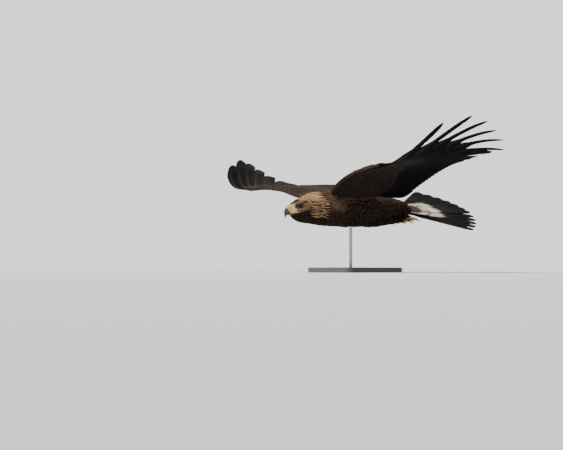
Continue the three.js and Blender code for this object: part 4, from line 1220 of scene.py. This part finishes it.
def lid_piece(side, word):
    """The rim of both lids: a soft ring on the eyeball, dark above and pale below."""
    axis = eye_axis(side)
    ahead = np.array([0, -math.cos(HEAD_PITCH), -math.sin(HEAD_PITCH)])
    forward = unit(ahead - axis * (axis @ ahead))
    up = np.cross(forward, axis) * side
    if up[2] < 0:
        up = -up
    centre = np.array([side * EYE_X, EYE_Y, EYE_Z])
    around, tube = 72, 12
    turn = np.arange(around) * 2 * math.pi / around
    lid_x = np.cos(turn) * LID_HALF_WIDTH * (1 + 0.10 * np.maximum(0, np.cos(turn)))
    lid_y = np.sin(turn) * LID_HALF_HEIGHT * np.where(np.sin(turn) > 0, 0.74, 0.92)
    reach = np.sqrt(lid_x ** 2 + lid_y ** 2)
    height = np.sqrt(np.maximum(EYE_RADIUS ** 2 - reach ** 2, 0))
    path = centre + lid_x[:, None] * forward + lid_y[:, None] * up + height[:, None] * axis
    outward_way = unit(path - centre)
    aside = unit(np.cross(np.roll(path, -1, 0) - np.roll(path, 1, 0), outward_way))
    spin = np.arange(tube) * 2 * math.pi / tube
    rim = 0.9 + 0.1 * (np.sin(turn) < 0)
    rings = path[:, None] + (np.cos(spin)[None, :, None] * outward_way[:, None] * 0.8 +
                             np.sin(spin)[None, :, None] * aside[:, None] * 1.1) * rim[:, None, None]
    i = np.arange(around)[:, None] * tube
    j = np.arange(tube)[None]
    nxt = ((np.arange(around) + 1) % around)[:, None] * tube
    n = (j + 1) % tube
    quads = np.stack([i + j, i + n, nxt + n, nxt + j], -1).reshape(-1, 4)
    flat = rings.reshape(-1, 3)
    quads, _ = outward(flat - flat.mean(0), quads, np.zeros((0, 3), int))
    below = smooth((-np.sin(turn) - 0.05) / 0.5)
    color = np.repeat(mix((0.018, 0.012, 0.010), (0.10, 0.07, 0.052), below[:, None]), tube, 0)
    return make_mesh("lids_" + word, to_world(flat), quads, color=color)


# Feet
TOES = [
    ("inner", -9, 216, 36, -1, 3, 5.4, -6), ("middle", 0, 220, 44, 0, 3, 5.2, 0),
    ("outer", 9, 216, 36, 0, 3, 4.8, 7), ("hind", -2, 208, 26, -10, 0, 5.2, -1),
]
FOOT_Z = -49
TALON_LENGTH, TALON_BEND = 22, math.radians(42)


def toe_path(side, toe, reach):
    _, aside, start, length, hang, drop, _, turn = toe
    reach = np.asarray(reach, float)
    x = side * (LEG_X + aside) + side * turn * reach
    y = start + length * reach
    z = FOOT_Z + hang + 2 * np.sin(reach * math.pi) - drop * reach * reach
    return np.stack([x, y, z], -1)


def foot_piece(side, word):
    """A scaly foot: palm and toes, with a raised plate over each stretch of the toes' backs."""
    palm = finer([(side * LEG_X, 190, -49), (side * LEG_X, 208, -53), (side * LEG_X, 221, -54)], 20)
    shapes = [limb_rings(palm, finer([(10.6,), (11.8,), (8.8,)], 20)[:, 0], 28)]
    for toe in TOES:
        reach = np.linspace(-0.25, 1, 90)
        bulge = flow([(-0.25, 0.9), (0.25, 1), (0.6, 0.97), (0.85, 0.87), (1, 0.74)], reach)
        pad = 1 + 0.05 * np.sin(reach * toe[3] / 3.1 * 2 * math.pi)
        shapes.append(limb_rings(toe_path(side, toe, reach), bulge * toe[6] * pad * 0.98, 24))
    return make_mesh("foot_skin_" + word, *joined(shapes))


def talon_piece(side, toe, word):
    name, radius = toe[0], toe[6]
    end, before = toe_path(side, toe, 1.0), toe_path(side, toe, 0.85)
    ahead = unit(end - before)
    t = np.linspace(0, 1, 40)
    bend = TALON_BEND * t
    run = np.sin(bend) / TALON_BEND * TALON_LENGTH - 3
    fall = (1 - np.cos(bend)) / TALON_BEND * TALON_LENGTH
    path = end + ahead * run[:, None] + np.array([0, 0, -1.0]) * fall[:, None]
    radii = flow([(0, 1), (0.25, 0.84), (0.5, 0.62), (0.75, 0.36), (1, 0.06)], t) * radius * 0.66
    return loft_object("talon_horn_" + word + "_" + name, to_world(limb_rings(path, radii, 24)))


# Materials
def new_material(name):
    material = bpy.data.materials.new(name)
    material.use_nodes = True
    tree = material.node_tree
    shader = tree.nodes["Principled BSDF"]
    return material, tree, shader


def attribute(tree, name, output="Fac"):
    node = tree.nodes.new("ShaderNodeAttribute")
    node.attribute_name = name
    return node.outputs[output]


def math_node(tree, operation, a, b=None):
    node = tree.nodes.new("ShaderNodeMath")
    node.operation = operation
    for socket, value in zip(node.inputs, (a, b)):
        if value is None:
            continue
        if isinstance(value, (int, float)):
            socket.default_value = value
        else:
            tree.links.new(value, socket)
    return node.outputs[0]


def noise_node(tree, scale, detail=3.0, roughness=0.5):
    where = tree.nodes.new("ShaderNodeTexCoord")
    node = tree.nodes.new("ShaderNodeTexNoise")
    node.inputs["Scale"].default_value = scale
    node.inputs["Detail"].default_value = detail
    node.inputs["Roughness"].default_value = roughness
    tree.links.new(where.outputs["Object"], node.inputs["Vector"])
    return node.outputs["Fac"]


def map_node(tree, value, low, high):
    node = tree.nodes.new("ShaderNodeMapRange")
    node.inputs["To Min"].default_value = low
    node.inputs["To Max"].default_value = high
    tree.links.new(value, node.inputs["Value"])
    return node.outputs["Result"]


def scaled_color(tree, color, factor):
    node = tree.nodes.new("ShaderNodeVectorMath")
    node.operation = "SCALE"
    tree.links.new(color, node.inputs[0])
    tree.links.new(factor, node.inputs["Scale"])
    return node.outputs["Vector"]


def bump(tree, shader, height, strength, distance):
    node = tree.nodes.new("ShaderNodeBump")
    node.inputs["Strength"].default_value = strength
    node.inputs["Distance"].default_value = distance
    tree.links.new(height, node.inputs["Height"])
    tree.links.new(node.outputs["Normal"], shader.inputs["Normal"])


def feather_material(name, barb_width, roughness, depth, gloss):
    """Barbs run aslant from the shaft as fine ridges, with a faint change of tone between them."""
    material, tree, shader = new_material(name)
    barb = attribute(tree, "barb")
    wave = math_node(tree, "SINE", math_node(tree, "MULTIPLY", barb, 2 * math.pi / barb_width))
    soft = noise_node(tree, 260, 4, 0.6)
    ridge = math_node(tree, "ADD", math_node(tree, "MULTIPLY", wave, 0.5), soft)
    tone = map_node(tree, ridge, 0.80, 1.18)
    tree.links.new(scaled_color(tree, attribute(tree, "Col", "Color"), tone), shader.inputs["Base Color"])
    shader.inputs["Roughness"].default_value = roughness
    shader.inputs["Specular IOR Level"].default_value = gloss
    bump(tree, shader, ridge, 0.35, depth)
    return material


def skin_material():
    material, tree, shader = new_material("skin_down")
    tone = map_node(tree, noise_node(tree, 420, 5, 0.65), 0.6, 1.3)
    tree.links.new(scaled_color(tree, attribute(tree, "Col", "Color"), tone), shader.inputs["Base Color"])
    shader.inputs["Roughness"].default_value = 0.85
    bump(tree, shader, noise_node(tree, 900, 3, 0.6), 0.5, 0.0006)
    return material


def painted_material(name, roughness, grain, strength, depth, coat=0.0, gloss=0.5):
    """A surface that takes its colour from its points, with a fine uneven grain."""
    material, tree, shader = new_material(name)
    grains = noise_node(tree, grain, 4, 0.55)
    tree.links.new(scaled_color(tree, attribute(tree, "Col", "Color"), map_node(tree, grains, 0.85, 1.15)),
                   shader.inputs["Base Color"])
    shader.inputs["Roughness"].default_value = roughness
    shader.inputs["Specular IOR Level"].default_value = gloss
    shader.inputs["Coat Weight"].default_value = coat
    shader.inputs["Coat Roughness"].default_value = 0.05
    bump(tree, shader, grains, strength, depth)
    return material


def ramp_material(name, low, high, roughness, grain, strength, depth, metallic=0.0, cells=False, coat=0.0):
    """Two tones mixed by a grain or by scale-like cells."""
    material, tree, shader = new_material(name)
    if cells:
        where = tree.nodes.new("ShaderNodeTexCoord")
        pattern = tree.nodes.new("ShaderNodeTexVoronoi")
        pattern.feature = "DISTANCE_TO_EDGE"
        pattern.inputs["Scale"].default_value = grain
        tree.links.new(where.outputs["Object"], pattern.inputs["Vector"])
        height = map_node(tree, pattern.outputs["Distance"], 0.0, 1.0)
        height = math_node(tree, "MINIMUM", math_node(tree, "MULTIPLY", height, 6.0), 1.0)
    else:
        height = noise_node(tree, grain, 5, 0.6)
    mixer = tree.nodes.new("ShaderNodeMix")
    mixer.data_type = "RGBA"
    mixer.inputs["A"].default_value = (*low, 1)
    mixer.inputs["B"].default_value = (*high, 1)
    tree.links.new(height, mixer.inputs["Factor"])
    tree.links.new(mixer.outputs["Result"], shader.inputs["Base Color"])
    shader.inputs["Roughness"].default_value = roughness
    shader.inputs["Metallic"].default_value = metallic
    shader.inputs["Coat Weight"].default_value = coat
    bump(tree, shader, height, strength, depth)
    return material


def dress(piece, material, slot, *nodes):
    """Gives a piece its material and its body, and hides the CAD nodes that it stands for; the slot is not
    used.
    """
    piece.data.materials.clear()
    piece.data.materials.append(material)
    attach(piece, "root")
    if nodes:
        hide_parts(*nodes)
    return piece


# Putting the bird together
vane_finish = feather_material("flight_vane", 0.8, 0.55, 0.00012, 0.015)
coat_finish = feather_material("body_feather", 0.55, 0.7, 0.00012, 0.05)
horn_finish = painted_material("bill_horn", 0.22, 300, 0.12, 0.0002, coat=0.4)
cere_finish = painted_material("cere_wax", 0.42, 900, 0.2, 0.0002)
eye_finish = painted_material("eye_gloss", 0.08, 400, 0.0, 0.0001, gloss=0.22)
lid_finish = painted_material("lid_skin", 0.5, 1500, 0.5, 0.0002)
gape_finish = painted_material("gape_skin", 0.42, 500, 0.2, 0.0002)
toe_finish = ramp_material("toe_scales", (0.28, 0.18, 0.035), (0.52, 0.35, 0.07), 0.5, 520, 0.7, 0.0006,
                           cells=True)
talon_finish = ramp_material("talon_horn", (0.010, 0.011, 0.013), (0.035, 0.036, 0.040), 0.2, 260, 0.15,
                             0.0002, coat=0.4)
base_finish = ramp_material("stand_paint", (0.050, 0.046, 0.043), (0.070, 0.065, 0.060), 0.45, 700, 0.12,
                            0.0002)
rod_finish = ramp_material("stand_steel", (0.42, 0.43, 0.44), (0.58, 0.59, 0.60), 0.28, 500, 0.1, 0.0001,
                           metallic=1.0)

skin = make_skin()
color_skin(skin)
unwrap_skin(skin)
dress(skin, skin_material(), "plumage", "head", "neck", "torso", "leg_left", "leg_right")

skin_tree = BVHTree.FromObject(skin, bpy.context.evaluated_depsgraph_get())

COAT_ZONES = ("body_feathers_left", "body_feathers_right", "neck_feathers", "wing_left_small",
              "wing_right_small")
WING_COAT_X = 96
NECK_COAT_Y = -165
SIDES = ((1, "left"), (-1, "right"))


def zone_of(spot):
    """The piece that carries a small feather, from the place of its root on the bird."""
    word = "left" if spot[0] > 0 else "right"
    if abs(spot[0]) > WING_COAT_X:
        return "wing_" + word + "_small"
    if spot[1] < NECK_COAT_Y:
        return "neck_feathers"
    return "body_feathers_" + word


def lay_coat():
    """The small feathers, zone by zone, and the loose hackles over the neck."""
    zones = {name: [] for name in COAT_ZONES}
    for root in scatter(skin.data):
        zones[zone_of(to_bird(root[0][None])[0])].append(root)
    zones["hackles"] = scatter(skin.data, hackle_size)
    for name, members in zones.items():
        laid = lay_leaves(skin_tree, members, hackles=name == "hackles")
        piece = leaves_object(name, laid, LEAF_ROWS, LEAF_COLUMNS)
        dress(piece, coat_finish, "nape" if name in ("neck_feathers", "hackles") else "plumage")


def on_side(side, feathers):
    return feathers if side > 0 else [mirrored(f) for f in feathers]


def lay_wings():
    arm_feathers = secondaries()
    cover = coverts() + alula()
    for side, word in SIDES:
        piece = plates_object("primaries_" + word, on_side(side, primaries(side)), PRIMARY_ROWS,
                              FLIGHT_COLUMNS, paint_flight)
        dress(piece, vane_finish, "flight", "wing_" + word + "_hand")
        piece = plates_object("secondaries_" + word, on_side(side, arm_feathers), SECONDARY_ROWS,
                              FLIGHT_COLUMNS, paint_flight)
        dress(piece, vane_finish, "flight", "wing_" + word + "_arm")
        piece = plates_object("coverts_" + word, on_side(side, cover), COVERT_ROWS, COVERT_COLUMNS,
                              paint_covert)
        dress(piece, coat_finish, "plumage")


def lay_tail():
    for part, shapes, rows, columns, painter in (
        ("rectrices", rectrices(), RECTRIX_ROWS, FLIGHT_COLUMNS, paint_rectrix),
        ("tail_coverts", tail_coverts(), COVERT_ROWS, COVERT_COLUMNS, paint_tail_covert),
    ):
        for word, right in (("left", False), ("right", True)):
            group = [f for f in shapes if bool(f["mirror"]) == right]
            piece = plates_object(part + "_" + word, group, rows, columns, painter)
            dress(piece, vane_finish, "tail")
            if part == "rectrices" and word == "left":
                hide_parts("tail")


lay_coat()
lay_wings()
lay_tail()

cere, upper, lower = beak_pieces()
dress(cere, cere_finish, "cere", "cere")
dress(upper, horn_finish, "horn", "bill_upper")
dress(lower, horn_finish, "horn", "bill_lower")
for side, word in SIDES:
    dress(eye_piece(side, word), eye_finish, "eye", "eye_" + word)
    dress(lid_piece(side, word), lid_finish, "nape")
    dress(gape_piece(side, word), gape_finish, "cere")
    dress(foot_piece(side, word), toe_finish, "toe", "foot_" + word)
    for toe in TOES:
        dress(talon_piece(side, toe, word), talon_finish, "horn", "talon_" + word + "_" + toe[0])

for node, finish_of in (("stand_base", base_finish), ("stand_rod", rod_finish)):
    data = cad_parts[node].data
    data.materials.clear()
    data.materials.append(finish_of)


# Studio
def make_studio():
    """A floor that sweeps up into a backdrop behind the bird."""
    back, right = np.array(VIEW_BACK), np.array(VIEW_RIGHT)
    profile = [(FLOOR_REACH, 0.0)]
    for a in np.linspace(0, math.pi / 2, SWEEP_STEPS):
        profile.append((-BACKDROP_DISTANCE - math.sin(a) * SWEEP_RADIUS,
                        SWEEP_RADIUS - math.cos(a) * SWEEP_RADIUS))
    profile.append((-BACKDROP_DISTANCE - SWEEP_RADIUS, BACKDROP_HEIGHT))
    rows = [[back * d + right * w + np.array([0, 0, z]) for w in (-FLOOR_REACH, FLOOR_REACH)]
            for d, z in profile]
    points = np.array(rows).reshape(-1, 3)
    quads = [(2 * k, 2 * k + 1, 2 * k + 3, 2 * k + 2) for k in range(len(profile) - 1)]
    floor = make_mesh("studio_floor", points, quads)
    material, _, shader = new_material("studio_paper")
    shader.inputs["Base Color"].default_value = PAPER_COLOR
    shader.inputs["Roughness"].default_value = PAPER_ROUGHNESS
    floor.data.materials.append(material)


def aim(thing, place, way):
    thing.location = place
    thing.rotation_mode = "QUATERNION"
    thing.rotation_quaternion = way.to_track_quat("-Z", "Y")


def make_lights():
    centre, up = Vector((0, 0, RIDE_HEIGHT)), Vector((0, 0, 1))
    place = centre + Vector(VIEW_BACK) * SUN_AHEAD - Vector(VIEW_RIGHT) * SUN_LEFT + up * SUN_ABOVE
    data = bpy.data.lights.new("key", "SUN")
    data.energy = SUN_STRENGTH
    data.color = SUN_COLOR
    data.angle = SUN_SPREAD
    sun = bpy.data.objects.new("key", data)
    bpy.context.scene.collection.objects.link(sun)
    aim(sun, place, centre - place)
    world = bpy.data.worlds.new("studio")
    world.use_nodes = True
    shade = world.node_tree.nodes["Background"]
    shade.inputs["Color"].default_value = SKY_COLOR
    shade.inputs["Strength"].default_value = SKY_STRENGTH
    bpy.context.scene.world = world


def make_camera():
    back, right = Vector(VIEW_BACK), Vector(VIEW_RIGHT)
    aside = (PHOTO_WIDTH / 2 - BODY_PIXEL[0]) / PIXELS_PER_METRE
    above = (BODY_PIXEL[1] - PHOTO_HEIGHT / 2) / PIXELS_PER_METRE
    target = Vector((0, 0, RIDE_HEIGHT)) + right * aside + Vector((0, 0, above))
    data = bpy.data.cameras.new("camera")
    data.sensor_width = SENSOR_WIDTH
    data.lens = SENSOR_WIDTH * CAMERA_DISTANCE * PIXELS_PER_METRE / PHOTO_WIDTH
    data.clip_end = CAMERA_CLIP
    camera = bpy.data.objects.new("camera", data)
    bpy.context.scene.collection.objects.link(camera)
    aim(camera, target + back * CAMERA_DISTANCE, -back)
    bpy.context.scene.camera = camera


make_studio()
make_lights()
make_camera()
